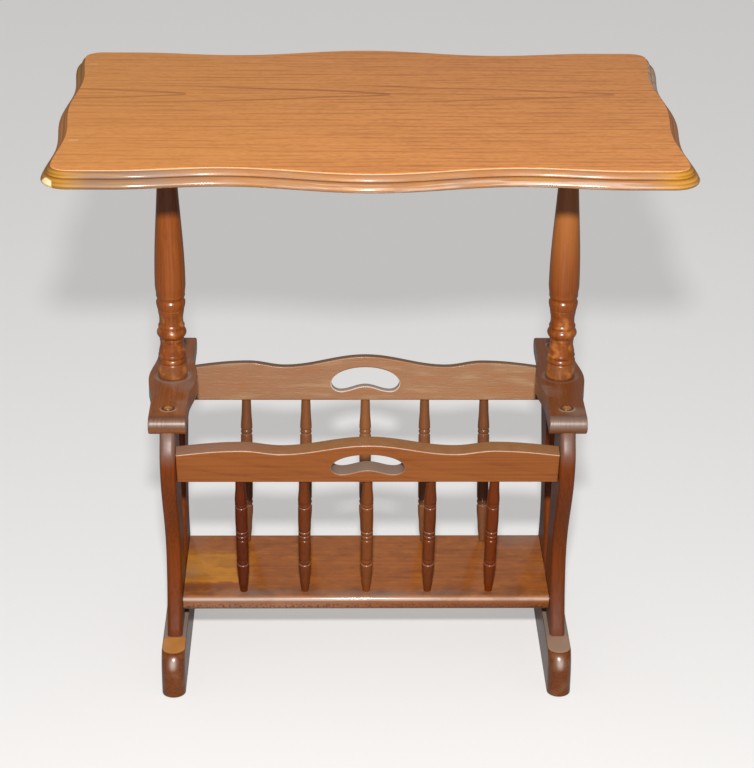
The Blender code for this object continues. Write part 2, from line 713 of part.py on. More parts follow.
def hand_hole_outline():
    """A kidney shape: half an ellipse above, a low saddle between two round lobes below."""
    wide = HAND_HOLE_WIDTH / 2
    lobe = HAND_HOLE_LOBE_SHARE * wide
    side = []
    for angle in spread(math.pi / 2, 0, CURVE_STEPS - 2):
        rise = (HAND_HOLE_TOP - HAND_HOLE_MIDDLE) * math.sin(angle)
        side.append((wide * math.cos(angle), HAND_HOLE_MIDDLE + rise))
    for angle in spread(0, math.pi / 2, ROUND_STEPS)[1:]:
        drop = (HAND_HOLE_MIDDLE - HAND_HOLE_BOTTOM) * math.sin(angle)
        side.append((between(lobe, wide, math.cos(angle)), HAND_HOLE_MIDDLE - drop))
    for share in spread(0, 1, ROUND_STEPS + 1)[1:]:
        height = between(HAND_HOLE_BOTTOM, HAND_HOLE_SADDLE, ease(share))
        side.append((lobe * (1 - share), height))
    return side + [(-x, height) for x, height in side[-2:0:-1]]


def build_rails(root):
    """The leaning rails, with a hand-hole, spindle sockets below and a dowel hole at each end."""
    peg = round_hole(DOWEL_DIAMETER, DOWEL_INNER_DEPTH)
    socket = round_hole(SPINDLE_HEAD_TENON_DIAMETER, SPINDLE_TENON_LENGTH)
    holes = [((x, 0, 0), UP, socket) for x in SPINDLE_PLACES]
    for _, side in SIDES:
        mouth = (side * RAIL_LENGTH / 2, 0, RAIL_END_HEIGHT / 2)
        holes.append((mouth, (-side, 0, 0), peg))
    for end_name, end in ENDS:
        place = (0, end * RAIL_REACH, RAIL_UNDERSIDE)
        shape = prism(rail_outline(), RAIL_THICKNESS)
        rail = add_object(f"rail_{end_name}", shape, "rail_wood", root, place, rack_turn(end))
        hole = prism(hand_hole_outline(), RAIL_THICKNESS + 2 * OVERRUN)
        cut(rail, hole, rail.name + "_hand_hole")
        drill(rail, holes)


def rack_turn(end):
    """Lean outwards: the front rack towards -Y, the rear one towards +Y."""
    return (RACK_LEAN, 0, 0) if end < 0 else (RACK_LEAN, 0, math.pi)


def build_shelf(root):
    """The shelf between the legs, with a leaning socket for each spindle."""
    edge = SHELF_EDGE_RADIUS
    shape = board(RAIL_LENGTH / 2, SHELF_DEPTH / 2, SHELF_THICKNESS, edge, edge, False)
    place = (0, 0, SHELF_TOP - SHELF_THICKNESS)
    shelf = add_object("shelf", shape, "shelf_wood", root, place)
    socket = round_hole(SPINDLE_FOOT_TENON_DIAMETER, SPINDLE_TENON_LENGTH)
    peg = round_hole(DOWEL_DIAMETER, DOWEL_INNER_DEPTH)
    holes = []
    for _, end in ENDS:
        down = (0, -end * math.sin(RACK_LEAN), -math.cos(RACK_LEAN))
        for x in SPINDLE_PLACES:
            holes.append(((x, end * SPINDLE_FOOT_REACH, SHELF_THICKNESS), down, socket))
        for _, side in SIDES:
            mouth = (side * RAIL_LENGTH / 2, end * SHELF_DOWEL_REACH, SHELF_THICKNESS / 2)
            holes.append((mouth, (-side, 0, 0), peg))
    drill(shelf, holes)


def build_spindles(root):
    """Two rows of turned spindles that lean out from the shelf up to the rails."""
    foot_radius = SPINDLE_FOOT_TENON_DIAMETER / 2
    head_radius = SPINDLE_HEAD_TENON_DIAMETER / 2
    head_top = SPINDLE_LENGTH + SPINDLE_TENON_LENGTH
    start = foot_radius / (SPINDLE_DIAMETER / 2)
    profile = [(0, -SPINDLE_TENON_LENGTH), (foot_radius, -SPINDLE_TENON_LENGTH)]
    profile += turned_outline(SPINDLE_LENGTH, SPINDLE_DIAMETER / 2, start, SPINDLE_SHARES)
    profile += [(head_radius, SPINDLE_LENGTH), (head_radius, head_top), (0, head_top)]
    for end_name, end in ENDS:
        for number, x in enumerate(SPINDLE_PLACES, start=1):
            place = (x, end * SPINDLE_FOOT_REACH, SHELF_TOP)
            shape = turned(profile, SPINDLE_SEGMENTS)
            label = f"spindle_{end_name}_{number}"
            add_object(label, shape, "spindle_wood", root, place, rack_turn(end))


def build_dowels(root):
    """The dowels that run from each leg into the shelf and into the rail."""
    seats = (
        ("shelf", SHELF_DOWEL_REACH, SHELF_DOWEL_HEIGHT),
        ("rail", RAIL_DOWEL_REACH, RAIL_DOWEL_HEIGHT),
    )
    for name, side in SIDES:
        for end_name, end in ENDS:
            for board_name, reach, height in seats:
                place = (side * (LEG_INNER_FACE + DOWEL_LEG_DEPTH), end * reach, height)
                label = f"{board_name}_dowel_{end_name}_{name}"
                turn = (0, -side * math.pi / 2, 0)
                add_object(label, dowel_shape(), "dowel_wood", root, place, turn)


def main():
    for item in list(bpy.data.objects):
        bpy.data.objects.remove(item)
    root = bpy.data.objects.new("magazine_stand", None)
    bpy.context.scene.collection.objects.link(root)
    build_top(root)
    build_cleats(root)
    build_posts(root)
    build_caps(root)
    build_legs(root)
    build_runners(root)
    build_rails(root)
    build_shelf(root)
    build_spindles(root)
    build_dowels(root)


main()
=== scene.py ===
"""Finished wooden pieces, floor, lamp and camera for a magazine stand.

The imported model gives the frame, and each finished piece takes the place of one
of its nodes. Metres, +Z up, and the front looks along -Y.
"""

import math
from dataclasses import dataclass

import bmesh
import bpy
from bpy.props import FloatProperty, FloatVectorProperty, IntProperty, PointerProperty
from mathutils import Matrix, Vector


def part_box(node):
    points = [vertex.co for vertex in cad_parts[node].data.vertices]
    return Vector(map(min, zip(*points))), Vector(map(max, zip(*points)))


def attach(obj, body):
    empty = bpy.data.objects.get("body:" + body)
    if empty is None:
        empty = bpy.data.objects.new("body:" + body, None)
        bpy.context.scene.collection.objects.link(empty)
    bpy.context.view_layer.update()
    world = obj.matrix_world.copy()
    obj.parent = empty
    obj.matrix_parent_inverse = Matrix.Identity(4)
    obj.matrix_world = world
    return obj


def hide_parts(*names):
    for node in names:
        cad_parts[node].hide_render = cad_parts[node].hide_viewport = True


bl_info = {
    "name": "Magazine Stand Finish",
    "version": (1, 0, 0),
    "blender": (4, 5, 0),
    "location": "View3D > Sidebar > Stand",
    "description": "Finished wooden pieces, floor, lamp and camera for a magazine stand",
    "category": "Object",
}

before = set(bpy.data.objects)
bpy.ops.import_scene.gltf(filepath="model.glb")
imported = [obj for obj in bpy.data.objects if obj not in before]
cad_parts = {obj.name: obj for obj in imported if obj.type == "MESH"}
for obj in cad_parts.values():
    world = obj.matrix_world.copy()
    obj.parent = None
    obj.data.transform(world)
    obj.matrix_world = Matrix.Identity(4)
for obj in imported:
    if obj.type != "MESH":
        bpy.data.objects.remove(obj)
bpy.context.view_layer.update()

# Places taken from the frame
TOP_LOW, TOP_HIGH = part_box("table_top")
CLEAT_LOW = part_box("top_cleat_right")[0]
CAP_LOW, CAP_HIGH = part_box("cap_right")
LEG_LOW, LEG_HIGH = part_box("leg_rear_right")
RUNNER_LOW, RUNNER_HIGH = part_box("runner_right")
RAIL_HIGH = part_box("rail_rear")[1]
SHELF_LOW, SHELF_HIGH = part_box("shelf")
BUTTON_LOW, BUTTON_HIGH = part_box("cap_button_rear_right")
END_X = (RUNNER_LOW.x + RUNNER_HIGH.x) / 2
SIDES = (("left", -1), ("right", 1))
ENDS = (("front", -1), ("rear", 1))
QUADRANTS = ((1, 1), (-1, 1), (-1, -1), (1, -1))
QUARTER = math.pi / 2
UPRIGHT = Matrix.Rotation(QUARTER, 4, "X")
SWAP_X_AND_Z = Matrix(((0, 0, 1, 0), (0, 1, 0, 0), (1, 0, 0, 0), (0, 0, 0, 1)))

# Table top
TOP_CORNER_RADIUS = 0.026
FRONT_VALLEY_SAG = 0.0176
FRONT_LOBE_SAG = 0.009
SIDE_VALLEY_SAG = 0.0055
FRONT_VALLEY_SHARE = 0.453
FRONT_LOBE_SHARE = 0.787
SIDE_VALLEY_SHARE = 0.430
TOP_THICKNESS = TOP_HIGH.z - TOP_LOW.z
TOP_WIDEST_DROP = 0.0134
MOULDING_POWER = 1.45
# The quirk's cut, as (inset, rise) points from its inset and drop
QUIRK_INSET = 0.0052
QUIRK_DROP = 0.0074
QUIRK_CUT = ((0.0, -0.0002), (0.0006, -0.0001), (0.0001, 0.0006), (0.0, 0.0007))
LIP_HEIGHT = 0.0013
LIP_RADIUS = 0.0007
LIP_STEPS = 6
LIP_STEP_IN = 0.0002
LIP_STEP_UP = 0.0001
# Its grain and wear
LINE_SPACING = 0.0106
FLAME_LINE = 0.0425
FLAME_TIPS = (-0.181, 0.024, 0.250)
FLAME_POWER = 0.7
FLAME_SPREAD = 0.074
FLAME_WIDTH = 0.0042
CHIP_PLACE = (-0.2985, -0.1845, 0.5845)
SCRATCHES = ((-0.2806, -0.101), (-0.2852, 0.1425))

# Caps
CAP_WIDTH = 0.038
CAP_BULGE = 0.0062
CAP_BULGE_LENGTH = 0.110
CAP_BULGE_STEPS = 28
CAP_NOSE_STEPS = 16
CAP_NOSE_TIP_SHARE = 0.03
CAP_EDGE_SHARE = 0.8
BUTTON_REACH = (BUTTON_LOW.y + BUTTON_HIGH.y) / 2
BUTTON_STEPS = 10
BUTTON_SEGMENTS = 32

# Legs
LEG_SHOULDER_DROP = 0.028
LEG_SHOULDER_REACH = 0.115
LEG_TOP_SETBACK = 0.0122
LEG_WAIST_HEIGHT = 0.130
LEG_WAIST_REACH = 0.070
LEG_FOOT_REACH = 0.092
LEG_INNER_TOP_REACH = 0.046
LEG_INNER_FOOT_REACH = 0.011
LEG_STEPS = 60

# Runners
TOE_ROLL = 0.013
TOE_ROLL_HEIGHT = 0.028
TOE_STEPS = 24
SOLE_ROLL = 0.003
SOLE_STEPS = 8
RUNNER_EDGE = 0.0014

# Shelf
SHELF_EDGE_STEPS = 8
SHELF_END_EDGE = 0.0004
SHELF_END_STEPS = 2

# Racks
RAIL_THICKNESS = 0.016
RAIL_REACH = 0.0935
RAIL_UNDERSIDE = 0.2385
SPINDLE_FOOT_REACH = 0.0548
SPINDLE_COUNT = 5
SPINDLE_SPACING = 0.0648
SPINDLE_RADIUS = 0.0068
RACK_RUN = (RAIL_REACH - SPINDLE_FOOT_REACH, RAIL_UNDERSIDE - SHELF_HIGH.z)
RACK_LEAN = math.atan2(*RACK_RUN)
SPINDLE_LENGTH = math.hypot(*RACK_RUN)
RAIL_CROWN_HEIGHT = 0.0481
RAIL_VALLEY_HEIGHT = 0.0368
RAIL_LOBE_HEIGHT = 0.0413
RAIL_END_HEIGHT = 0.0352
RAIL_VALLEY_SHARE = 0.453
RAIL_LOBE_SHARE = 0.657
HAND_HOLE_HALF_WIDTH = 0.0370
HAND_HOLE_TOP = 0.0362
HAND_HOLE_MIDDLE = 0.0187
HAND_HOLE_SADDLE = 0.0155
HAND_HOLE_BOTTOM = 0.0100
HAND_HOLE_LOBE_SHARE = 0.72
# Steps over the top, round each lobe and up to the saddle
HAND_HOLE_STEPS = (16, 8, 10)

# Shading and stage
FLAT_RIM = 0.0003
SHARP_ANGLE = math.radians(40)
LEVEL_NORMAL = 0.99
WELD = 0.000001
FLOOR_HALF_WIDTH = 12
FLOOR_ROUGHNESS = 0.8
FILM_WIDTH = 36
CLIP_END = 50
FINE_RELIEF = 0.00008
# Where the left of the stand turns to its right, and its front to its rear
MIDDLE_X = (-0.1, 0.1)
MIDDLE_Y = (-0.02, 0.02)

# A turned outline: each row ends at a share of the length and of the radius, and swells
# by a share of the radius between its ends, in a number of steps
POST_RADIUS = 0.0157
POST_START_SHARE = 0.86
POST_SHARES = (
    (0.010, 0.965, 0.012, 4),
    (0.030, 0.985, 0, 3),
    (0.0615, 0.935, 0.006, 5),
    (0.0665, 0.900, 0, 3),
    (0.086, 0.885, 0.055, 9),
    (0.0895, 0.870, 0, 3),
    (0.107, 0.870, 0.048, 8),
    (0.145, 0.770, 0.012, 10),
    (0.160, 0.770, 0, 3),
    (0.1625, 0.790, 0, 3),
    (0.171, 0.795, 0.004, 4),
    (0.1735, 0.780, 0, 3),
    (0.2135, 0.865, 0.145, 16),
    (0.2155, 0.840, 0, 2),
    (0.219, 0.832, 0, 2),
    (0.236, 0.800, 0.052, 8),
    (0.262, 0.785, -0.010, 8),
    (0.290, 0.845, 0, 8),
    (0.293, 0.856, 0, 3),
    (0.298, 0.858, 0.003, 3),
    (0.301, 0.845, 0, 3),
    (0.305, 0.900, 0, 3),
    (0.326, 0.950, 0.008, 8),
    (0.3425, 0.870, 0.025, 8),
    (0.346, 0.880, 0, 2),
    (0.362, 0.940, 0.022, 8),
    (0.409, 1.000, 0.006, 10),
    (0.985, 0.590, 0, 24),
    (1.000, 0.575, 0, 2),
)
SPINDLE_START_SHARE = 0.56
SPINDLE_RINGS = (0.254, 0.478, 0.510, 0.544, 0.756)
SPINDLE_SHARES = (
    (0.012, 0.600, 0.010, 3),
    (0.110, 0.780, 0.010, 6),
    (0.225, 0.955, 0, 6),
    (0.2495, 0.960, 0.004, 3),
    (0.2575, 0.810, 0, 4),
    (0.2635, 0.850, 0, 2),
    (0.292, 0.855, 0.085, 9),
    (0.297, 0.840, 0, 3),
    (0.305, 0.925, 0, 4),
    (0.467, 0.925, 0.020, 10),
    (0.475, 0.760, 0, 4),
    (0.481, 0.920, 0, 3),
    (0.503, 0.930, 0.014, 4),
    (0.511, 0.760, 0, 4),
    (0.517, 0.920, 0, 3),
    (0.539, 0.930, 0.014, 4),
    (0.547, 0.760, 0, 4),
    (0.553, 0.920, 0, 3),
    (0.705, 0.935, 0.030, 8),
    (0.749, 0.925, 0.004, 3),
    (0.757, 0.780, 0, 4),
    (0.761, 0.840, 0, 2),
    (0.785, 0.850, 0.085, 8),
    (0.789, 0.835, 0, 2),
    (0.797, 0.935, 0, 4),
    (0.935, 0.765, 0, 8),
    (1.000, 0.720, 0, 3),
)


def screen_colour(red, green, blue):
    """Linear colour of an 8-bit screen colour."""
    shares = [value / 255 for value in (red, green, blue)]
    return [s / 12.92 if s <= 0.04045 else ((s + 0.055) / 1.055) ** 2.4 for s in shares]


def colour_prop(name, description, red, green, blue):
    return FloatVectorProperty(
        name=name,
        description=description,
        default=screen_colour(red, green, blue),
        min=0,
        max=1,
        subtype="COLOR",
    )


def length_prop(name, description, default):
    return FloatProperty(name=name, description=description, default=default, min=0, unit="LENGTH")


def share_prop(name, description, default):
    return FloatProperty(
        name=name, description=description, default=default, min=0, max=1, subtype="FACTOR"
    )


def angle_prop(name, description, default):
    return FloatProperty(name=name, description=description, default=default, subtype="ANGLE")


def count_prop(name, description, default):
    return IntProperty(name=name, description=description, default=default, min=3)


class StandSizes(bpy.types.PropertyGroup):
    """Sizes of the finished edges, and how finely they are shaped."""

    moulding_width: length_prop("Moulding Width", "Width of the table top's moulding", 0.010)
    board_edge: length_prop("Board Edge", "Radius of the rails' edges", 0.0012)
    leg_edge: length_prop("Leg Edge", "Radius of the legs' edges", 0.0045)
    cap_edge: length_prop("Cap Edge", "Radius of the caps' long edges", 0.0016)
    shelf_edge: length_prop("Shelf Edge", "Radius of the shelf's front and rear edges", 0.0050)
    outline_step: length_prop("Outline Step", "Distance between points of an outline", 0.0028)
    post_segments: count_prop("Post Segments", "Sides of a turned post", 80)
    spindle_segments: count_prop("Spindle Segments", "Sides of a turned spindle", 40)
    round_steps: count_prop("Round Steps", "Steps of a rounded edge", 5)


class StandColours(bpy.types.PropertyGroup):
    """Stain colours of the pieces, and colours of their wear and of painted light and shade."""

    top_light: colour_prop("Top Light", "Table top between its rings", 250, 166, 88)
    top_dark: colour_prop("Top Dark", "Ring lines of the table top", 186, 104, 44)
    moulding_stain: colour_prop("Moulding Stain", "Stain of the top's moulding", 126, 88, 58)
    worn_wood: colour_prop("Worn Wood", "Wood of the toes where feet rub them", 194, 132, 66)
    top_yellow: colour_prop("Top Yellow", "Yellower left half of the table top", 238, 160, 62)
    flame_dark: colour_prop("Flame Dark", "Strong ring lines over the pith", 140, 66, 28)
    # Faded stain, and also the painted sheen that makes the rear rack paler
    faded_wood: colour_prop("Faded Wood", "Rear rail, where its stain has faded", 150, 116, 80)
    sapwood: colour_prop("Sapwood", "Yellow patch at the shelf's left", 208, 136, 32)
    edge_gold: colour_prop("Edge Gold", "Moulding where the stain is rubbed off", 194, 139, 32)
    post_light: colour_prop("Post Light", "Posts between their rings", 140, 71, 18)
    post_dark: colour_prop("Post Dark", "Ring lines of the posts", 94, 40, 6)
    cap_light: colour_prop("Cap Light", "Caps between their rings", 148, 82, 34)
    cap_dark: colour_prop("Cap Dark", "Ring lines of the caps", 100, 52, 20)
    leg_light: colour_prop("Leg Light", "Legs between their rings", 127, 55, 1)
    leg_dark: colour_prop("Leg Dark", "Ring lines of the legs", 81, 34, 2)
    runner_light: colour_prop("Runner Light", "Runners between their rings", 114, 54, 2)
    runner_dark: colour_prop("Runner Dark", "Ring lines of the runners", 75, 29, 1)
    rail_light: colour_prop("Rail Light", "Rails between their rings", 154, 86, 32)
    rail_dark: colour_prop("Rail Dark", "Ring lines of the rails", 118, 60, 22)
    shelf_light: colour_prop("Shelf Light", "Shelf between its rings", 182, 104, 40)
    shelf_dark: colour_prop("Shelf Dark", "Ring lines of the shelf", 122, 64, 26)
    spindle_light: colour_prop("Spindle Light", "Spindles between their rings", 103, 37, 2)
    spindle_dark: colour_prop("Spindle Dark", "Ring lines of the spindles", 66, 22, 2)
    # Pale wear, and also the colour of painted highlights and painted sheen
    rubbed_edge: colour_prop("Rubbed Edge", "Sharp edges rubbed pale", 214, 194, 178)
    bare_wood: colour_prop("Bare Wood", "Wood where the finish is gone", 236, 214, 168)
    # Dirt, and also painted shade in the quirks, the cap recesses and the buttons' rims
    grime: colour_prop("Grime", "Dirt in the quirks and joints", 62, 34, 18)
    # Dust, and also a painted grey sheen and reflection on the moulding, noses, shoulders, toes and
    # hand-holes
    dust: colour_prop("Dust", "Grey dust on flat places", 146, 128, 116)
    steel: colour_prop("Screw Steel", "Plated steel of the screws", 170, 168, 162)


class StandStage(bpy.types.PropertyGroup):
    """Camera, lamp, sky and floor."""

    camera_place: FloatVectorProperty(
        name="Camera Place",
        description="Where the camera stands",
        default=(-0.0350, -2.1758, 1.3109),
        subtype="TRANSLATION",
        unit="LENGTH",
    )
    camera_pitch: angle_prop("Camera Pitch", "Angle below level", 0.435)
    camera_yaw: angle_prop("Camera Yaw", "Turn to the right", 0.021)
    camera_roll: angle_prop("Camera Roll", "Turn about the line of sight", 0.009)
    lens: FloatProperty(
        name="Lens", description="Focal length in mm on a 36 mm frame", default=109.8, min=1
    )
    key_power: FloatProperty(
        name="Key Power", description="Power of the lamp above the camera", default=82, unit="POWER"
    )
    key_size: length_prop("Key Size", "Width of the lamp above the camera", 0.11)
    key_rise: length_prop("Key Rise", "Height of the lamp over the camera", 0.33)
    sky: share_prop("Sky", "Strength of the light from all round", 0.22)
    backdrop: share_prop("Backdrop", "Brightness behind the floor, as the camera sees it", 0.56)
    floor_colour: colour_prop("Floor", "Pale floor, as the camera sees it", 190, 188, 186)
    floor_glow: colour_prop("Floor Glow", "Lifts the floor towards white", 172, 171, 170)
    floor_bounce: share_prop("Floor Bounce", "Brightness of the floor as the stand sees it", 0.25)
    floor_mirror: share_prop("Floor Mirror", "Share of the pale floor in reflections", 0.2)


def shader_operator(operation, reflected=False):
    """A method that adds this Math node for a value and another one."""

    def method(self, other):
        operands = (other, self) if reflected else (self, other)
        return self.math(operation, *operands)

    return method


class Value:
    """A socket in shader maths, where each operator adds the Math node that it stands for."""

    def __init__(self, nodes, socket):
        self.nodes = nodes
        self.socket = socket

    def math(self, operation, *operands, clamp=False):
        settings = {"operation": operation, "use_clamp": clamp}
        return self.nodes.add("ShaderNodeMath", settings, dict(enumerate(operands)))

    __add__ = shader_operator("ADD")
    __radd__ = shader_operator("ADD", reflected=True)
    __sub__ = shader_operator("SUBTRACT")
    __rsub__ = shader_operator("SUBTRACT", reflected=True)
    __mul__ = shader_operator("MULTIPLY")
    __rmul__ = shader_operator("MULTIPLY", reflected=True)
    __truediv__ = shader_operator("DIVIDE")
    __rtruediv__ = shader_operator("DIVIDE", reflected=True)
    __pow__ = shader_operator("POWER")
    larger = shader_operator("MAXIMUM")

    def __abs__(self):
        return self.math("ABSOLUTE", self)

    def clamped(self):
        return self.math("ADD", self, 0, clamp=True)

    def rise(self, low, high):
        """0 below low and 1 above high, with a smooth step between."""
        settings = {"interpolation_type": "SMOOTHSTEP"}
        return self.nodes.add("ShaderNodeMapRange", settings, {0: self, 1: low, 2: high})

    def fall(self, low, high):
        return 1 - self.rise(low, high)

    def band(self, middle, half_width):
        """1 at the middle, fading to 0 on both sides."""
        return abs(self - middle).fall(0, half_width)

    def stripes(self, spacing, half_width):
        """A band in the middle of each spacing."""
        cycle = self / spacing
        return cycle.math("FRACT", cycle).band(0.5, half_width)


def away(across, along):
    """Length of the line whose two parts, at right angles, are these."""
    return across.math("SQRT", across * across + along * along)


class Nodes:
    """Adds nodes to one material, and keeps the places that its patterns read."""

    def __init__(self, name):
        self.material = bpy.data.materials.new(name)
        self.material.use_nodes = True
        self.tree = self.material.node_tree
        self.tree.nodes.clear()
        self.place = self.add("ShaderNodeTexCoord", output="Object")
        self.x, self.y, self.z = self.split(self.place)

    def add(self, kind, settings=None, inputs=None, output=0):
        """Add a node of this kind, apply its settings, feed its sockets and give one output."""
        node = self.tree.nodes.new(kind)
        for key, setting in (settings or {}).items():
            setattr(node, key, setting)
        for key, value in (inputs or {}).items():
            if isinstance(value, Value):
                self.tree.links.new(value.socket, node.inputs[key])
            else:
                node.inputs[key].default_value = value
        if output is None:
            return [Value(self, socket) for socket in node.outputs]
        return Value(self, node.outputs[output])

    def split(self, vector):
        return self.add("ShaderNodeSeparateXYZ", inputs={0: vector}, output=None)

    def normal(self):
        """The X, Y and Z parts of the way that the surface faces."""
        return self.split(self.add("ShaderNodeNewGeometry", output="Normal"))

    def level(self):
        """1 on faces that look up, where dust settles and where the caps' painted recess shade and
        highlight ring lie.
        """
        return self.normal()[2].rise(0.80, 0.97)

    def noise(self, along, across=None, detail=2.0, roughness=0.5, place=None):
        """Noise at one scale along local X, which is the grain's way, and one across it."""
        across = across or along
        inputs = {0: place or self.place, 1: (along, across, across)}
        stretched = self.add("ShaderNodeVectorMath", {"operation": "MULTIPLY"}, inputs)
        inputs = {"Vector": stretched, "Scale": 1.0, "Detail": detail, "Roughness": roughness}
        return self.add("ShaderNodeTexNoise", {"noise_dimensions": "3D"}, inputs)

    def mix(self, share, first, second):
        """Mix two colours, given as linked sockets or as three numbers."""
        pair = [c if isinstance(c, Value) else (*c, 1.0) for c in (first, second)]
        inputs = {0: share, 6: pair[0], 7: pair[1]}
        return self.add("ShaderNodeMix", {"data_type": "RGBA"}, inputs, output=2)

    def close(self, **inputs):
        """Close the material with a Principled shader."""
        inputs = {key.replace("_", " "): value for key, value in inputs.items()}
        surface = self.add("ShaderNodeBsdfPrincipled", inputs=inputs)
        self.add("ShaderNodeOutputMaterial", inputs={"Surface": surface}, output=None)
        return self.material

    def bump(self, height, relief):
        inputs = {"Height": height, "Distance": relief, "Strength": 1.0}
        return self.add("ShaderNodeBump", inputs=inputs)


@dataclass
class Board:
    """How a piece was sawn from the log, how strongly its grain shows, and its gloss."""

    turn: tuple
    pith: tuple
    tilt: tuple
    spacing: float = 0.0042
    wander: float = 1.2
    lines: float = 0.25
    fibres: float = 0.45
    fibre_scale: float = 480
    fibre_stretch: float = 6
    blotches: float = 0.5
    roughness: float = 0.40
    gloss: float = 0.35
    coat: float = 0.2
    coat_roughness: float = 0.15


ALONG_X = (0, 0, 0)
ALONG_Y = (0, 0, -QUARTER)
ALONG_Z = (0, QUARTER, 0)
PLAIN_BOARD = Board(ALONG_Y, (0.05, 0.30), (0.02, 0.04), lines=0.4, roughness=0.6, coat=0.0)
BOARDS = {
    "top": Board(
        ALONG_X, (0.045, 0.567), (0.008, 0.0228), spacing=0.0050, wander=0.5, lines=0.06,
        fibres=0.3, fibre_scale=420, fibre_stretch=10, blotches=0.2, gloss=0.25, coat=0.35,
        coat_roughness=0.14,
    ),
    "post": Board(
        ALONG_Z, (0.02, 0.05), (0.01, 0.02), lines=0.15, fibres=0.38, blotches=1.1, gloss=0.15,
        coat=0.6, coat_roughness=0.24,
    ),
    "cap": Board(
        ALONG_Y, (0.03, 0.24), (0.0, 0.05), lines=0.1, blotches=0.9, gloss=0.15, coat=0.85,
        coat_roughness=0.33,
    ),
    "leg": Board(
        ALONG_Z, (0.06, 0.03), (0.02, 0.03), blotches=0.8, roughness=0.5, gloss=0.1, coat=0.4,
        coat_roughness=0.36,
    ),
    "runner": Board(
        ALONG_Y, (0.02, 0.26), (0.02, 0.04), blotches=1.0, gloss=0.1, coat=1.0,
        coat_roughness=0.27,
    ),
    "rail": Board(
        ALONG_X, (0.02, 0.31), (0.03, 0.05), fibres=0.42, blotches=0.8, roughness=0.45, gloss=0.4,
        coat=0.1,
    ),
    "shelf": Board(
        ALONG_X, (0.11, 0.05), (0.06, 0.03), spacing=0.0050, lines=0.10, fibres=0.28,
        blotches=0.8, roughness=0.34, gloss=0.25, coat=0.8, coat_roughness=0.16,
    ),
    "button": Board(
        ALONG_Z, (0.03, 0.02), (0.01, 0.02), gloss=0.5, coat=1.0, coat_roughness=0.2
    ),
    "spindle": Board(
        ALONG_Z, (0.04, 0.02), (0.03, 0.02), spacing=0.0034, fibres=0.5, gloss=0.08, coat=0.34,
        coat_roughness=0.2,
    ),
    "cleat": PLAIN_BOARD,
    "dowel": PLAIN_BOARD,
}


class Wood(Nodes):
    """Colour, roughness, height and coat of stained wood, with wear and painted light and shade
    laid over its grain.
    """

    def __init__(self, name, light=None, dark=None):
        super().__init__(name + "_wood")
        self.stains = bpy.context.scene.stand_colours
        self.board = board = BOARDS[name]
        light = getattr(self.stains, light or name + "_light")
        dark = getattr(self.stains, dark or name + "_dark")
        turned = self.add(
            "ShaderNodeMapping", inputs={"Vector": self.place, "Rotation": board.turn}
        )
        along, left, up = self.split(turned)
        # Distance from the pith, which runs slightly aslant, gives the growth rings
        wander = self.noise(1.3, 9, place=turned) - 0.5
        left = left - board.pith[0] + along * board.tilt[0]
        up = up - board.pith[1] + along * board.tilt[1]
        radius = away(left, up) + wander * (board.spacing * board.wander * 2)
        phase = radius.math("FRACT", radius / board.spacing)
        late = phase.rise(0.55, 0.86) * phase.fall(0.90, 0.98)
        strength = self.noise(2.5, 90, place=turned).rise(0.36, 0.66)
        rings = late * (strength * 0.8 + 0.2)
        # Fibres run the length of the board, and pores open as short dark dashes
        fibre = self.noise(board.fibre_stretch, board.fibre_scale, 3, 0.6, turned)
        pores = self.noise(110, board.fibre_scale * 1.2, 1, place=turned).rise(0.55, 0.7)
        shade = rings * board.lines + (fibre.rise(0.40, 0.64) - 0.4) * board.fibres
        shade = shade + pores * (rings * 0.6 + 0.4) * board.fibres * 0.5
        colour = self.mix((shade + 0.12).clamped(), light, dark)
        murk = (self.noise(7, 22, 3, place=turned) - 0.5) * board.blotches
        self.colour = self.mix((murk + 0.15).clamped(), colour, dark)
        self.roughness = fibre * 0.10 + (board.roughness - 0.05)
        self.height = fibre * 0.5 - pores * 0.5 - rings * 0.2
        self.coat = board.coat

    def right(self):
        return self.x.rise(*MIDDLE_X)

    def rear(self):
        return self.y.rise(*MIDDLE_Y)

    def lay(self, **shares):
        """Lay colours over the wood in turn, each under its name and with its share."""
        for name, share in shares.items():
            self.colour = self.mix(share, self.colour, getattr(self.stains, name))

    def dull(self, share, amount=0.25):
        """Roughen the surface where the share is high."""
        self.roughness = self.roughness + share * amount

    def finish(self, relief=0.00010):
        return self.close(
            Base_Color=self.colour,
            Roughness=self.roughness,
            Normal=self.bump(self.height, relief),
            Specular_IOR_Level=self.board.gloss,
            Coat_Weight=self.coat,
            Coat_Roughness=self.board.coat_roughness,
        )


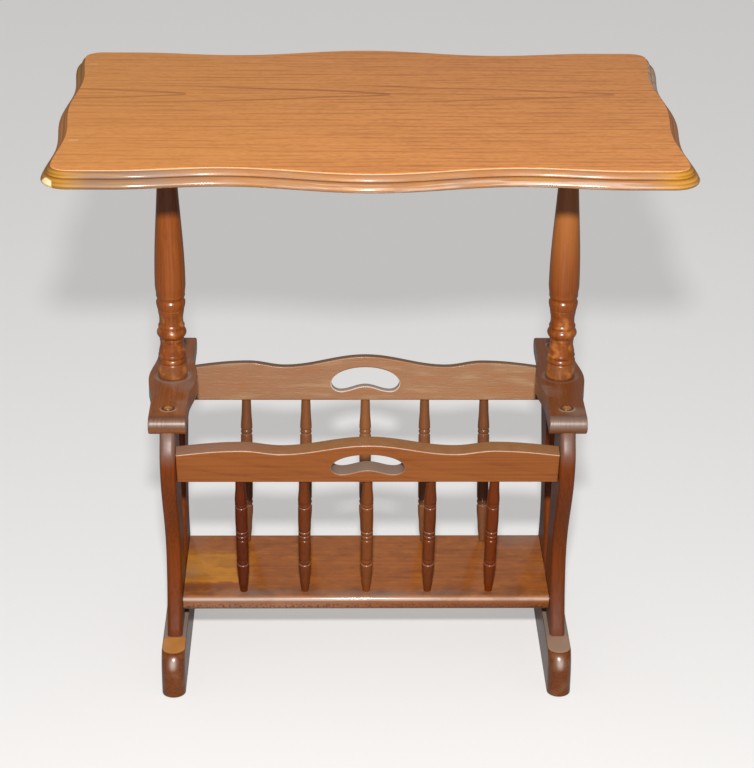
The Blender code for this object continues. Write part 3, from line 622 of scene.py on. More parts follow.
def top_wood():
    wood = Wood("top")
    x, y, drop = wood.x, wood.y, TOP_HIGH.z - wood.z
    speckle, patches = wood.noise(160, detail=3), wood.noise(22)
    on_edge = drop.rise(0.0004, 0.0012)
    on_flat = 1 - on_edge
    # The flat shows thin dark lines that come and go
    wave = wood.noise(2.5, 26, 3) - 0.5
    gaps = wood.noise(18, 160).rise(0.40, 0.62)
    lines = (y + wave * 0.022).stripes(LINE_SPACING, 0.32) * gaps
    dashes = wood.noise(130, 330, 1).rise(0.46, 0.70)
    wood.lay(flame_dark=lines * on_flat * 0.40, top_dark=dashes * on_flat * 0.30)
    # Over the pith the rings run out in long flames, pointed to the right
    waver = wood.noise(9, 20) - 0.5
    aside = abs(y - FLAME_LINE + waver * 0.012)
    for tip in FLAME_TIPS:
        length = (tip - x).larger(0)
        flame = (aside - length**FLAME_POWER * FLAME_SPREAD).band(0, FLAME_WIDTH)
        flame = flame * length.fall(0.12, 0.34) * length.rise(0, 0.004)
        wood.lay(flame_dark=flame * on_flat * (x.fall(-0.1, 0.2) * 0.25 + 0.42))
    # The moulding is stained darker in front, carries a painted grey reflection at the left and in
    # patches, and is darkened towards the left
    front = y.fall(-0.172, -0.166)
    on_front, on_side = on_edge * front, on_edge * (1 - front)
    greyed = on_front * (x.fall(-0.24, -0.10) * 0.4 + patches.rise(0.4, 0.7) * 0.25)
    wood.lay(
        top_yellow=x.fall(-0.30, 0.10) * 0.28,
        moulding_stain=on_edge * (front * 0.6 + 0.15),
        dust=greyed,
        grime=on_front * x.fall(-0.24, -0.12) * 0.30,
    )
    # Streaks of painted grey sheen and golden streaks run along its lower member, and layers show
    # at the sides
    run = wood.add("ShaderNodeCombineXYZ", inputs={0: x * 16, 1: drop * 420})
    streaks = wood.noise(1, place=run)
    lower = drop.rise(0.0082, 0.0098) * front
    layers = (drop + (patches - 0.5) * 0.002).stripes(0.0026, 0.35)
    # The quirk and the foot of the lip are darkened, partly as dirt and partly as painted shade;
    # the lip's edge has a painted highlight
    quirks = drop.band(QUIRK_DROP, 0.0008).larger(drop.band(LIP_HEIGHT + 0.0003, 0.0005) * 0.4)
    wood.lay(
        rubbed_edge=lower * streaks.rise(0.46, 0.60) * x.rise(-0.2, 0.0) * 0.40,
        edge_gold=on_front * streaks.fall(0.34, 0.46) * 0.30,
        rail_light=on_side * 0.35,
        leg_light=on_side * (layers * 0.35 + 0.1),
        grime=quirks * 0.5,
    )
    # Painted highlight along the lip's edge
    wood.lay(rubbed_edge=drop.band(0.0008, 0.0006) * front * 0.6)
    # Two short scratches near the left edge
    for scratch_x, scratch_y in SCRATCHES:
        scratch = x.band(scratch_x, 0.0060).rise(0, 0.3) * y.band(scratch_y, 0.0018)
        wood.lay(bare_wood=scratch * 0.8)
    # The corners are rubbed to the yellow wood
    corner = abs(x).rise(0.250, 0.290) * abs(y).rise(0.075, 0.160) * on_edge
    bands = (drop + (patches - 0.5) * 0.003).stripes(0.0031, 0.4)
    wood.lay(
        edge_gold=corner * (patches * 0.6 + 0.45).clamped(),
        flame_dark=corner * bands * 0.5,
        grime=corner * (1 - wood.right()) * 0.18,
    )
    # A chip at the front left corner, a rubbed stretch at the rear right edge, and bare flecks
    inputs = {0: wood.place, 1: CHIP_PLACE}
    reach = wood.add("ShaderNodeVectorMath", {"operation": "DISTANCE"}, inputs, output="Value")
    chip = (reach + (speckle - 0.5) * 0.004).fall(0.0080, 0.0092)
    rub = x.rise(0.284, 0.290) * y.rise(0.062, 0.072) * y.fall(0.150, 0.166)
    rub = rub * on_edge * (speckle + patches).rise(0.75, 1.05)
    wood.lay(bare_wood=chip, rubbed_edge=rub * 0.75)
    wood.lay(bare_wood=drop.rise(0.0150, 0.0160) * speckle.rise(0.60, 0.66))
    wood.dull(chip.larger(rub).larger(greyed))
    # The upper member and the left end have lost most of their shine
    matt = (drop.fall(0.0078, 0.0090) * 0.75).larger(x.fall(-0.25, -0.22) * 0.85)
    wood.coat = (1 - matt * drop.rise(0.00003, 0.0003)) * wood.coat
    return wood.finish()


def post_wood():
    wood = Wood("post")
    # The right post is paler, and both are rubbed in patches towards the foot
    above, patches = wood.z - CAP_HIGH.z, wood.noise(90)
    low = above.fall(0.060, 0.085)
    wood.lay(top_light=wood.right() * wood.z.rise(0.40, 0.50) * 0.20)
    wood.lay(
        top_light=low * patches.rise(0.5, 0.7) * 0.25,
        post_dark=low * patches.fall(0.35, 0.5) * 0.4,
        faded_wood=above.fall(0.014, 0.022) * 0.16,
    )
    return wood.finish(FINE_RELIEF)


def button_wood():
    wood = Wood("button", "worn_wood", "rail_dark")
    # Painted shade darkens the button towards its rim
    reach = away(abs(wood.x) - END_X, abs(wood.y) - BUTTON_REACH)
    wood.lay(grime=reach.rise(0.0022, 0.0050) * 0.7)
    return wood.finish()


def spindle_wood():
    wood = Wood("spindle")
    x, rear = wood.x, wood.rear()
    # Paler in the rear rack, as a painted sheen, and round the middle where hands reach
    wood.lay(faded_wood=rear * 0.26, top_light=x.band(0, 0.12) * 0.10)
    # The rings carry painted highlights
    out, up = abs(wood.y) - SPINDLE_FOOT_REACH, wood.z - SHELF_HIGH.z
    share = (out * math.sin(RACK_LEAN) + up * math.cos(RACK_LEAN)) / SPINDLE_LENGTH
    for ring in SPINDLE_RINGS:
        wood.lay(rubbed_edge=share.band(ring, 0.0075) * 0.10)
    # The front rack runs from dark at the left to redder at the right
    front = 1 - rear
    wood.lay(
        spindle_dark=front * x.fall(-0.12, -0.08) * 0.15,
        leg_light=front * x.rise(0.08, 0.12) * 0.4,
    )
    return wood.finish(FINE_RELIEF)


def cap_wood():
    wood = Wood("cap")
    y, z, right, flat = wood.y, wood.z, wood.right(), wood.level()
    patches = wood.noise(30, detail=3)
    wood.lay(cap_dark=right * 0.5, dust=flat * patches.rise(0.46, 0.70) * 0.42)
    # The noses are darkened, with a painted grey sheen over them and a painted highlight band
    # across which scratches run
    end = abs(y).rise(CAP_HIGH.y - 0.012, CAP_HIGH.y - 0.007)
    nose = end * z.rise(0.296, 0.300)
    rubs = wood.noise(700, 40).rise(0.3, 0.7)
    shine = end * z.band(CAP_HIGH.z - 0.0050, 0.0050)
    wood.lay(
        grime=nose * 0.68,
        dust=nose * (right * 0.22 + 0.14),
        rubbed_edge=shine * (rubs * 0.7 + 0.3) * 0.22,
    )
    wood.coat = (1 - nose * 0.35) * wood.coat
    # A grey ring round the post's foot, painted shade in a recess round each button, and a painted
    # highlight in a ring outside it towards the nose
    across, along = abs(wood.x) - END_X, abs(y) - BUTTON_REACH
    reach = away(across, along)
    pale = reach.band(0.0080, 0.0018) * flat * along.rise(-0.004, 0.008)
    foot = away(across, y).band(0.0175, 0.0035) * flat
    wood.lay(
        dust=foot * (patches.rise(0.4, 0.6) * 0.5 + 0.3),
        bare_wood=pale * 0.4,
        grime=reach.band(0.0058, 0.0016) * flat,
    )
    wood.dull(flat * patches, 0.15)
    return wood.finish()


def leg_wood():
    wood = Wood("leg")
    z, right = wood.z, wood.right()
    # Darker low down and at the right, and darkened with a painted grey sheen where the shoulder
    # looks up
    shoulder = z.rise(0.256, 0.284)
    wood.lay(leg_dark=z.fall(0.045, 0.150) * 0.55, dust=shoulder * 0.45, grime=shoulder * 0.30)
    wood.lay(leg_dark=right * 0.25, dust=right * z.fall(0.05, 0.12) * 0.08)
    return wood.finish()


def runner_wood():
    wood = Wood("runner")
    z, reach, top = wood.z, abs(wood.y), RUNNER_HIGH.z
    patches = wood.noise(60, detail=3)
    # The flat ahead of each leg is rubbed down to the wood
    flat = z.rise(top - 0.0006, top - 0.0001)
    worn = flat * reach.rise(LEG_FOOT_REACH - 0.001, LEG_FOOT_REACH + 0.001)
    # Faded patches, and a painted grey sheen with a painted highlight streak on the toes where they
    # roll over
    across, toe = abs(abs(wood.x) - END_X), reach.rise(0.116, 0.122)
    roll = z.band(top - 0.009, 0.009) * toe * across.fall(0.001, 0.008)
    streak = z.band(top - 0.010, 0.008) * across.fall(0.0005, 0.0045) * (1 - flat) * toe
    wood.lay(
        faded_wood=patches.rise(0.45, 0.70) * 0.20, dust=roll * 0.6, rubbed_edge=streak * 0.40
    )
    wood.lay(dust=(flat - worn) * 0.9, worn_wood=worn * (patches * 0.5 + 0.6).clamped())
    wood.lay(dust=worn * wood.x.rise(0, 0.1) * 0.75)
    wood.dull(worn, 0.15)
    return wood.finish()


def rail_wood():
    wood = Wood("rail")
    x, rear, flat = wood.x, wood.rear(), wood.level()
    streaks, patches = wood.noise(20, 130, 3), wood.noise(110, detail=3)
    # The rear rail is paler, as a painted sheen, and dust lies along the tops
    left = x.fall(-0.17, -0.06)
    wood.lay(
        faded_wood=rear * 0.55,
        rail_light=rear * streaks.rise(0.5, 0.7) * 0.4,
        bare_wood=rear * streaks.fall(0.3, 0.5) * 0.10,
        grime=flat * 0.25,
    )
    wood.lay(
        faded_wood=flat * (patches * 0.5 + 0.25) * (1 - left * 0.8),
        dust=flat * left * 0.4,
        rail_dark=rear * (1 - wood.right()) * 0.15,
    )
    # A painted highlight runs along the upper edge in front; the hand-holes' walls carry a painted
    # grey sheen, and the rear one a painted highlight too
    facing = wood.normal()
    edge = abs(facing[1]).band(0.62, 0.32).rise(0, 0.4) * facing[2].rise(0.3, 0.6) * (1 - rear)
    inside = abs(facing[1]).fall(0.90, 0.96) * abs(x).fall(0.038, 0.040)
    inside = inside * wood.z.band(RAIL_UNDERSIDE + 0.018, 0.020).rise(0, 0.3)
    wood.lay(rubbed_edge=edge * (patches * 0.6 + 0.3), grime=inside * 0.55, dust=inside * 0.55)
    wood.lay(rubbed_edge=inside * rear * 0.8)
    return wood.finish()


def shelf_wood():
    wood = Wood("shelf")
    x, y, z = wood.x, wood.y, wood.z
    patches, mottle = wood.noise(6, 18, 3), wood.noise(60, 95, 4)
    # A yellow sapwood patch at the left, with a dark smudge before it
    ragged = (patches - 0.5) * 0.03 + (mottle - 0.5) * 0.02
    ragged_x, ragged_y = x + ragged, y + ragged
    yellow = ragged_x.fall(-0.145, -0.110) * ragged_y.rise(-0.043, -0.036)
    yellow = yellow * ragged_y.fall(0.016, 0.036)
    smudge = ragged_x.fall(-0.155, -0.130) * ragged_y.band(-0.050, 0.012)
    wood.lay(shelf_dark=mottle.rise(0.52, 0.72) * 0.45, sapwood=mottle.fall(0.28, 0.48) * 0.25)
    wood.lay(sapwood=yellow * (mottle.rise(0.25, 0.55) * 0.5 + 0.5), shelf_dark=smudge * 0.6)
    # The stain is darker on the front edge, which has a painted highlight above and is speckled
    # below
    behind = y - SHELF_LOW.y
    face = behind.fall(0.0012, 0.0030)
    rubbed = z.band(SHELF_HIGH.z - 0.0030, 0.0026) * behind.fall(0.004, 0.005)
    speckle = wood.noise(420).rise(0.50, 0.62)
    wood.lay(
        shelf_dark=face * 0.5,
        dust=face * (x.fall(-0.10, 0.05) * 0.22 + 0.08),
        rubbed_edge=rubbed * (patches * 0.5 + 0.5).clamped() * 0.85,
        leg_dark=face * x.rise(-0.1, 0.15) * z.fall(0.074, 0.080) * 0.5,
    )
    wood.lay(leg_dark=face * speckle * z.fall(0.072, 0.079) * 0.8)
    # Blots and dark seams on the flat, with dirt in front and dust along its edges
    flat = 1 - face
    blots, seams = wood.noise(24, 38, 4, 0.6), wood.noise(9, 90, 3).rise(0.56, 0.66)
    dusty = y.fall(-0.062, -0.046).larger(abs(x).rise(0.165, 0.190) * 0.7)
    dusty = dusty.larger(x.rise(0.11, 0.18) * y.rise(0.010, 0.060)) * flat
    wood.lay(shelf_dark=blots.rise(0.50, 0.64) * (x.rise(0.02, 0.10) * 0.05 + 0.25))
    wood.lay(
        shelf_dark=seams * flat * (x.rise(-0.05, 0.15) * 0.1 + 0.2),
        grime=y.fall(-0.058, -0.040) * flat * blots.rise(0.42, 0.58) * 0.35,
        dust=dusty * patches.rise(0.32, 0.70) * 0.7,
    )
    wood.dull(dusty, 0.1)
    return wood.finish()


def cleat_wood():
    return Wood("cleat", "shelf_light", "shelf_dark").finish()


def dowel_wood():
    return Wood("dowel", "bare_wood", "worn_wood").finish()


def screw_steel():
    nodes = Nodes("screw_steel")
    steel = bpy.context.scene.stand_colours.steel
    scratches = nodes.noise(400, 2600)
    colour = nodes.mix(scratches, steel, [share * 0.7 for share in steel])
    bump = nodes.bump(scratches, 0.00002)
    roughness = scratches * 0.25 + 0.25
    return nodes.close(Base_Color=colour, Roughness=roughness, Normal=bump, Metallic=1.0)


FINISHES = {
    make.__name__: make
    for make in (
        top_wood,
        post_wood,
        cap_wood,
        button_wood,
        leg_wood,
        runner_wood,
        rail_wood,
        spindle_wood,
        shelf_wood,
        cleat_wood,
        dowel_wood,
        screw_steel,
    )
}


def material(name):
    """The named finish, made once. The frame's own material of that name steps aside."""
    found = bpy.data.materials.get(name)
    if found and found.get("stand_finish"):
        return found
    if found:
        found.name = name + "_frame"
    made = FINISHES[name]()
    made["stand_finish"] = True
    return made


def ease(share):
    """Half a cosine wave from 0 to 1."""
    return (1 - math.cos(math.pi * share)) / 2


def late_ease(share):
    """A quarter of a cosine wave from 0 to 1, level at its start."""
    return 1 - math.cos(QUARTER * share)


def between(low, high, share):
    return low + (high - low) * share


def spread(low, high, steps):
    return [between(low, high, step / steps) for step in range(steps + 1)]


def arc(steps, start=0.0, end=QUARTER):
    """(cosine, sine) of the angles from start to end."""
    return [(math.cos(angle), math.sin(angle)) for angle in spread(start, end, steps)]


def quarter_turn(radius, steps):
    """(inset, rise) points of a rounded edge, from a wall up to a flat."""
    return [(radius * (1 - cosine), radius * sine) for cosine, sine in arc(steps)]


def with_flat(profile):
    """End an edge profile with a narrow flat rim, which keeps the flat's shading even."""
    inset, rise = profile[-1]
    return profile + [(inset + FLAT_RIM, rise)]


def spun(profile, segments):
    """Spin (radius, height) points, which start and end on the axis, round +Z."""
    shape = bmesh.new()
    line = [shape.verts.new((radius, 0, height)) for radius, height in profile]
    edges = [shape.edges.new(pair) for pair in zip(line, line[1:])]
    bmesh.ops.spin(
        shape,
        geom=line + edges,
        cent=(0, 0, 0),
        axis=(0, 0, 1),
        angle=math.tau,
        steps=segments,
        use_merge=True,
    )
    bmesh.ops.remove_doubles(shape, verts=shape.verts, dist=WELD)
    bmesh.ops.recalc_face_normals(shape, faces=shape.faces)
    return shape


def turned_profile(length, radius, start, rows):
    """(radius, height) points along the rows of a turned outline, from axis to axis."""
    points = [(0, 0), (start * radius, 0)]
    last_height, last_radius = 0, start
    for end_height, end_radius, swell, steps in rows:
        for step in range(1, steps + 1):
            turn = step / steps
            wide = between(last_radius, end_radius, ease(turn)) + swell * math.sin(math.pi * turn)
            points.append((wide * radius, between(last_height, end_height, turn) * length))
        last_height, last_radius = end_height, end_radius
    return points + [(0, length)]


def closed_loop(shape, points):
    """Add a closed run of points, and give its vertices and edges."""
    verts = [shape.verts.new(point) for point in points]
    return verts, [shape.edges.new(pair) for pair in zip(verts, verts[1:] + verts[:1])]


def slab(loops, thickness, lower, upper):
    """Fill closed outlines in XY and give them thickness, with an edge profile on each face.

    A profile lists (inset, rise) points from the wall, and starts at (0, 0).
    """
    floor_rise, roof_rise = lower[-1][1], upper[-1][1]
    shape = bmesh.new()
    edges = []
    for loop in loops:
        edges += closed_loop(shape, [(x, y, floor_rise) for x, y in loop])[1]
    bmesh.ops.triangle_fill(shape, edges=edges, use_beauty=True)
    pushed = bmesh.ops.extrude_face_region(shape, geom=shape.faces[:])
    verts = [item for item in pushed["geom"] if isinstance(item, bmesh.types.BMVert)]
    bmesh.ops.translate(shape, verts=verts, vec=(0, 0, thickness - floor_rise - roof_rise))
    bmesh.ops.recalc_face_normals(shape, faces=shape.faces)
    shape.normal_update()
    for profile, side in ((lower, -1), (upper, 1)):
        faces = [face for face in shape.faces if face.normal.z * side > LEVEL_NORMAL]
        for (inset, rise), (next_inset, next_rise) in zip(profile, profile[1:]):
            bmesh.ops.inset_region(
                shape,
                faces=faces,
                thickness=next_inset - inset,
                depth=next_rise - rise,
                use_boundary=True,
                use_even_offset=True,
            )
    return shape


def loft(rings):
    """Bridge a run of closed rings, each with as many points, and close both ends."""
    shape = bmesh.new()
    loops = [closed_loop(shape, ring) for ring in rings]
    for (_, lower), (_, upper) in zip(loops, loops[1:]):
        bmesh.ops.bridge_loops(shape, edges=lower + upper)
    for verts, _ in (loops[0], loops[-1]):
        shape.faces.new(verts)
    bmesh.ops.recalc_face_normals(shape, faces=shape.faces)
    return shape


def rounded_section(half_width, half_height, radius, steps):
    """A rectangle in XZ with rounded corners, and a point just past each rounding."""
    points = []
    margin = radius / 6
    centre_x, centre_z = half_width - radius, half_height - radius
    for x, z in QUADRANTS:
        turn = [(centre_x + radius * c, centre_z + radius * s) for c, s in arc(steps)]
        turn = [(half_width, centre_z - margin), *turn, (centre_x - margin, half_height)]
        if x * z < 0:
            turn.reverse()
        points += [(x * across, z * up) for across, up in turn]
    return points


def place_piece(node, shape, finish, place):
    """Make a piece from a bmesh at a place, riding on the root, instead of a node."""
    name = f"finished_{node}"
    shape.transform(place)
    mesh = bpy.data.meshes.new(name)
    shape.to_mesh(mesh)
    shape.free()
    mesh.materials.append(material(finish))
    mesh.shade_smooth()
    mesh.set_sharp_from_angle(angle=SHARP_ANGLE)
    piece = bpy.data.objects.new(name, mesh)
    bpy.context.scene.collection.objects.link(piece)
    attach(piece, "root")
    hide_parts(node)


def place_pair(kind, make_shape, height):
    """Place a piece of this kind at either end of the stand."""
    for name, side in SIDES:
        place = Matrix.Translation((side * END_X, 0, height))
        place_piece(f"{kind}_{name}", make_shape(), f"{kind}_wood", place)


def corners():
    """The name, the side and the end of each corner of the stand."""
    return [(f"{end_name}_{name}", side, end) for name, side in SIDES for end_name, end in ENDS]


def front_sag(x):
    """How far the front and rear edges of the top lie inside its depth."""
    valley, lobe = FRONT_VALLEY_SHARE * TOP_HIGH.x, FRONT_LOBE_SHARE * TOP_HIGH.x
    if x < valley:
        return FRONT_VALLEY_SAG * ease(x / valley)
    share = min((x - valley) / (lobe - valley), 1)
    return between(FRONT_VALLEY_SAG, FRONT_LOBE_SAG, ease(share))


def side_sag(y, corner):
    """How far the side edges of the top lie inside its length."""
    valley = SIDE_VALLEY_SHARE * TOP_HIGH.y
    if y < valley:
        return SIDE_VALLEY_SAG * ease(y / valley)
    return SIDE_VALLEY_SAG * (1 - ease((y - valley) / (corner - valley)))


def top_outline(step):
    """The widest outline of the top: a lobe in the middle of each edge, between valleys."""
    radius = TOP_CORNER_RADIUS
    corner_x, corner_y = TOP_HIGH.x - radius, TOP_HIGH.y - FRONT_LOBE_SAG - radius
    side_y = spread(0, corner_y, round(corner_y / step))[:-1]
    rear = [(TOP_HIGH.x - side_sag(y, corner_y), y) for y in side_y]
    for cosine, sine in arc(round(radius * QUARTER / step))[:-1]:
        rear.append((corner_x + radius * cosine, corner_y + radius * sine))
    rear_x = spread(corner_x, 0, round(corner_x / step))
    rear += [(x, TOP_HIGH.y - front_sag(x)) for x in rear_x]
    rear += [(-x, y) for x, y in reversed(rear)][1:]
    return rear + [(-x, -y) for x, y in rear][1:-1]


def member_points(start, end, steps):
    """(inset, rise) points of a moulding's member: upright, then a soft slope, then level."""
    points = []
    for cosine, sine in arc(steps)[1:]:
        inset = between(start[0], end[0], 1 - max(cosine, 0) ** MOULDING_POWER)
        points.append((inset, between(start[1], end[1], sine**MOULDING_POWER)))
    return points


class STAND_OT_table_top(bpy.types.Operator):
    """Make the scalloped table top with its stepped moulding"""

    bl_idname = "stand.table_top"
    bl_label = "Table Top"

    def execute(self, context):
        sizes = context.scene.stand_sizes
        steps, rise = sizes.round_steps * 2, TOP_WIDEST_DROP
        quirk = [(QUIRK_INSET + i, rise - QUIRK_DROP + r) for i, r in QUIRK_CUT]
        lip, lip_foot = sizes.moulding_width - LIP_RADIUS, rise - LIP_HEIGHT
        upper = [(0, 0), *member_points((0, 0), quirk[0], steps), *quirk[1:]]
        upper += member_points(quirk[-1], (lip - LIP_STEP_IN, lip_foot), steps)
        upper += [(lip, lip_foot + LIP_STEP_UP)]
        for inset, up in quarter_turn(LIP_RADIUS, LIP_STEPS):
            upper.append((lip + inset, rise - LIP_RADIUS + up))
        lower = with_flat(quarter_turn(TOP_THICKNESS - TOP_WIDEST_DROP, sizes.round_steps))
        shape = slab([top_outline(sizes.outline_step)], TOP_THICKNESS, lower, with_flat(upper))
        place_piece("table_top", shape, "top_wood", Matrix.Translation((0, 0, TOP_LOW.z)))
        return {"FINISHED"}


class STAND_OT_posts(bpy.types.Operator):
    """Turn the two posts"""

    bl_idname = "stand.posts"
    bl_label = "Posts"

    def execute(self, context):
        length = CLEAT_LOW.z - CAP_HIGH.z
        profile = turned_profile(length, POST_RADIUS, POST_START_SHARE, POST_SHARES)
        segments = context.scene.stand_sizes.post_segments
        place_pair("post", lambda: spun(profile, segments), CAP_HIGH.z)
        return {"FINISHED"}


def cap_half_width(y):
    """The cap's sides run straight, and swell round the post's foot."""
    share = min(abs(y) / (CAP_BULGE_LENGTH / 2), 1)
    return CAP_WIDTH / 2 + CAP_BULGE * math.cos(QUARTER * share) ** 2


class STAND_OT_caps(bpy.types.Operator):
    """Make the caps over the legs, half-round at both noses"""

    bl_idname = "stand.caps"
    bl_label = "Caps"

    def execute(self, context):
        sizes = context.scene.stand_sizes
        nose = (CAP_HIGH.z - CAP_LOW.z) / 2
        sections = [(y, nose) for y in spread(0, CAP_BULGE_LENGTH / 2, CAP_BULGE_STEPS)]
        for cosine, sine in arc(CAP_NOSE_STEPS)[:-1]:
            sections.append((CAP_HIGH.y - nose * (1 - sine), nose * cosine))
        sections.append((CAP_HIGH.y, nose * CAP_NOSE_TIP_SHARE))
        sections = [(-y, half) for y, half in reversed(sections)] + sections[1:]
        rings = []
        for y, half in sections:
            radius = min(sizes.cap_edge, half * CAP_EDGE_SHARE)
            section = rounded_section(cap_half_width(y), half, radius, sizes.round_steps)
            rings.append([(x, y, nose + z) for x, z in section])
        place_pair("cap", lambda: loft(rings), CAP_LOW.z)
        return {"FINISHED"}


class STAND_OT_buttons(bpy.types.Operator):
    """Turn the buttons over the caps' screws"""

    bl_idname = "stand.buttons"
    bl_label = "Buttons"

    def execute(self, context):
        radius = (BUTTON_HIGH.x - BUTTON_LOW.x) / 2
        sunk, rise = BUTTON_LOW.z - CAP_HIGH.z, BUTTON_HIGH.z - CAP_HIGH.z
        dome = [(radius * cosine, rise * sine) for cosine, sine in arc(BUTTON_STEPS)[:-1]]
        profile = [(0, sunk), (radius, sunk), *dome, (0, rise)]
        for name, side, end in corners():
            place = Matrix.Translation((side * END_X, end * BUTTON_REACH, CAP_HIGH.z))
            shape = spun(profile, BUTTON_SEGMENTS)
            place_piece(f"cap_button_{name}", shape, "button_wood", place)
        return {"FINISHED"}


def leg_outer_reach(height):
    """The leg's outer edge: out to the shoulder under the cap, in to the waist, out to the foot."""
    shoulder = CAP_LOW.z - LEG_SHOULDER_DROP
    if height > shoulder:
        share = (height - shoulder) / (LEG_HIGH.z - shoulder)
        return LEG_SHOULDER_REACH - LEG_TOP_SETBACK * late_ease(share)
    if height > LEG_WAIST_HEIGHT:
        share = (height - LEG_WAIST_HEIGHT) / (shoulder - LEG_WAIST_HEIGHT)
        return between(LEG_WAIST_REACH, LEG_SHOULDER_REACH, ease(share))
    share = (LEG_WAIST_HEIGHT - height) / (LEG_WAIST_HEIGHT - LEG_LOW.z)
    return between(LEG_WAIST_REACH, LEG_FOOT_REACH, late_ease(share))


def leg_inner_reach(height):
    """The leg's inner edge, which leaves a slot that widens upwards between two legs."""
    share = (height - LEG_LOW.z) / (LEG_HIGH.z - LEG_LOW.z)
    return between(LEG_INNER_FOOT_REACH, LEG_INNER_TOP_REACH, ease(share))


class STAND_OT_legs(bpy.types.Operator):
    """Make the four S-shaped legs with rounded edges"""

    bl_idname = "stand.legs"
    bl_label = "Legs"

    def execute(self, context):
        sizes = context.scene.stand_sizes
        # The ends run on into the runner and the cap by the radius of the edges
        places = [(height, height) for height in spread(LEG_LOW.z, LEG_HIGH.z, LEG_STEPS)[1:-1]]
        places.insert(0, (LEG_LOW.z, LEG_LOW.z - sizes.leg_edge))
        places.append((LEG_HIGH.z, LEG_HIGH.z + sizes.leg_edge))
        outline = [(leg_outer_reach(at), height) for at, height in places]
        outline += [(leg_inner_reach(at), height) for at, height in reversed(places)]
        thickness = LEG_HIGH.x - LEG_LOW.x
        centre = Matrix.Translation((0, 0, -thickness / 2))
        edge = with_flat(quarter_turn(sizes.leg_edge, sizes.round_steps))
        for name, side, end in corners():
            place = Matrix.Translation((side * END_X, 0, 0))
            place = place @ Matrix.Rotation(end * QUARTER, 4, "Z") @ UPRIGHT @ centre
            place_piece(f"leg_{name}", slab([outline], thickness, edge, edge), "leg_wood", place)
        return {"FINISHED"}


def runner_ring(shift, height):
    """A runner's plan at one height, with its round toes shifted back and its edges eased."""
    radius = (RUNNER_HIGH.x - RUNNER_LOW.x) / 2
    centre = RUNNER_HIGH.y - radius - shift
    rise = max(RUNNER_EDGE - min(height, RUNNER_HIGH.z - height), 0)
    radius -= RUNNER_EDGE - math.sqrt(RUNNER_EDGE**2 - rise**2)
    toe = arc(TOE_STEPS, QUARTER, -QUARTER)
    rear = [(radius * sine, centre + radius * cosine, height) for cosine, sine in toe]
    return rear + [(-x, -y, z) for x, y, z in rear]


class STAND_OT_runners(bpy.types.Operator):
    """Make the runner feet with round, rolled toes"""

    bl_idname = "stand.runners"
    bl_label = "Runners"

    def execute(self, context):
        rings = []
        for cosine, sine in arc(SOLE_STEPS):
            rings.append(runner_ring(SOLE_ROLL * (1 - sine), SOLE_ROLL * (1 - cosine)))
        for cosine, sine in arc(TOE_STEPS):
            height = RUNNER_HIGH.z - TOE_ROLL_HEIGHT * (1 - sine)
            rings.append(runner_ring(TOE_ROLL * (1 - cosine), height))
        place_pair("runner", lambda: loft(rings), 0)
        return {"FINISHED"}


def rail_top(x):
    """Height of the rail's top edge: a crown, a valley and a lobe on each half."""
    valley, lobe = RAIL_VALLEY_SHARE * RAIL_HIGH.x, RAIL_LOBE_SHARE * RAIL_HIGH.x
    x = abs(x)
    if x < valley:
        return between(RAIL_CROWN_HEIGHT, RAIL_VALLEY_HEIGHT, ease(x / valley))
    if x < lobe:
        share = (x - valley) / (lobe - valley)
        return between(RAIL_VALLEY_HEIGHT, RAIL_LOBE_HEIGHT, ease(share))
    share = (x - lobe) / (RAIL_HIGH.x - lobe)
    return between(RAIL_LOBE_HEIGHT, RAIL_END_HEIGHT, late_ease(share))


def hand_hole_outline():
    """A kidney shape: half an ellipse above, a low saddle between two round lobes below."""
    wide, middle = HAND_HOLE_HALF_WIDTH, HAND_HOLE_MIDDLE
    lobe = HAND_HOLE_LOBE_SHARE * wide
    over, under, inwards = HAND_HOLE_STEPS
    side = []
    for cosine, sine in arc(over, QUARTER, 0):
        side.append((wide * cosine, middle + (HAND_HOLE_TOP - middle) * sine))
    for cosine, sine in arc(under)[1:]:
        side.append((between(lobe, wide, cosine), middle - (middle - HAND_HOLE_BOTTOM) * sine))
    for share in spread(0, 1, inwards)[1:]:
        height = between(HAND_HOLE_BOTTOM, HAND_HOLE_SADDLE, ease(share))
        side.append((lobe * (1 - share), height))
    return side + [(-x, height) for x, height in side[-2:0:-1]]


def rack_place(end, x, reach, height):
    """Stand a shape up in a rack: local Z leans outwards, from a foot at this reach."""
    turn = Matrix.Rotation(RACK_LEAN, 4, "X")
    if end > 0:
        turn = Matrix.Rotation(math.pi, 4, "Z") @ turn
    return Matrix.Translation((x, end * reach, height)) @ turn


class STAND_OT_rails(bpy.types.Operator):
    """Make the two rails with their hand-holes"""

    bl_idname = "stand.rails"
    bl_label = "Rails"

    def execute(self, context):
        sizes = context.scene.stand_sizes
        half = RAIL_HIGH.x
        steps = 2 * round(half / sizes.outline_step)
        outline = [(x, 0) for x in spread(-half, half, steps)]
        outline += [(x, rail_top(x)) for x in spread(half, -half, steps)]
        edge = with_flat(quarter_turn(sizes.board_edge, sizes.round_steps))
        centre = Matrix.Translation((0, 0, -RAIL_THICKNESS / 2))
        for name, end in ENDS:
            shape = slab([outline, hand_hole_outline()], RAIL_THICKNESS, edge, edge)
            place = rack_place(end, 0, RAIL_REACH, RAIL_UNDERSIDE) @ UPRIGHT @ centre
            place_piece(f"rail_{name}", shape, "rail_wood", place)
        return {"FINISHED"}


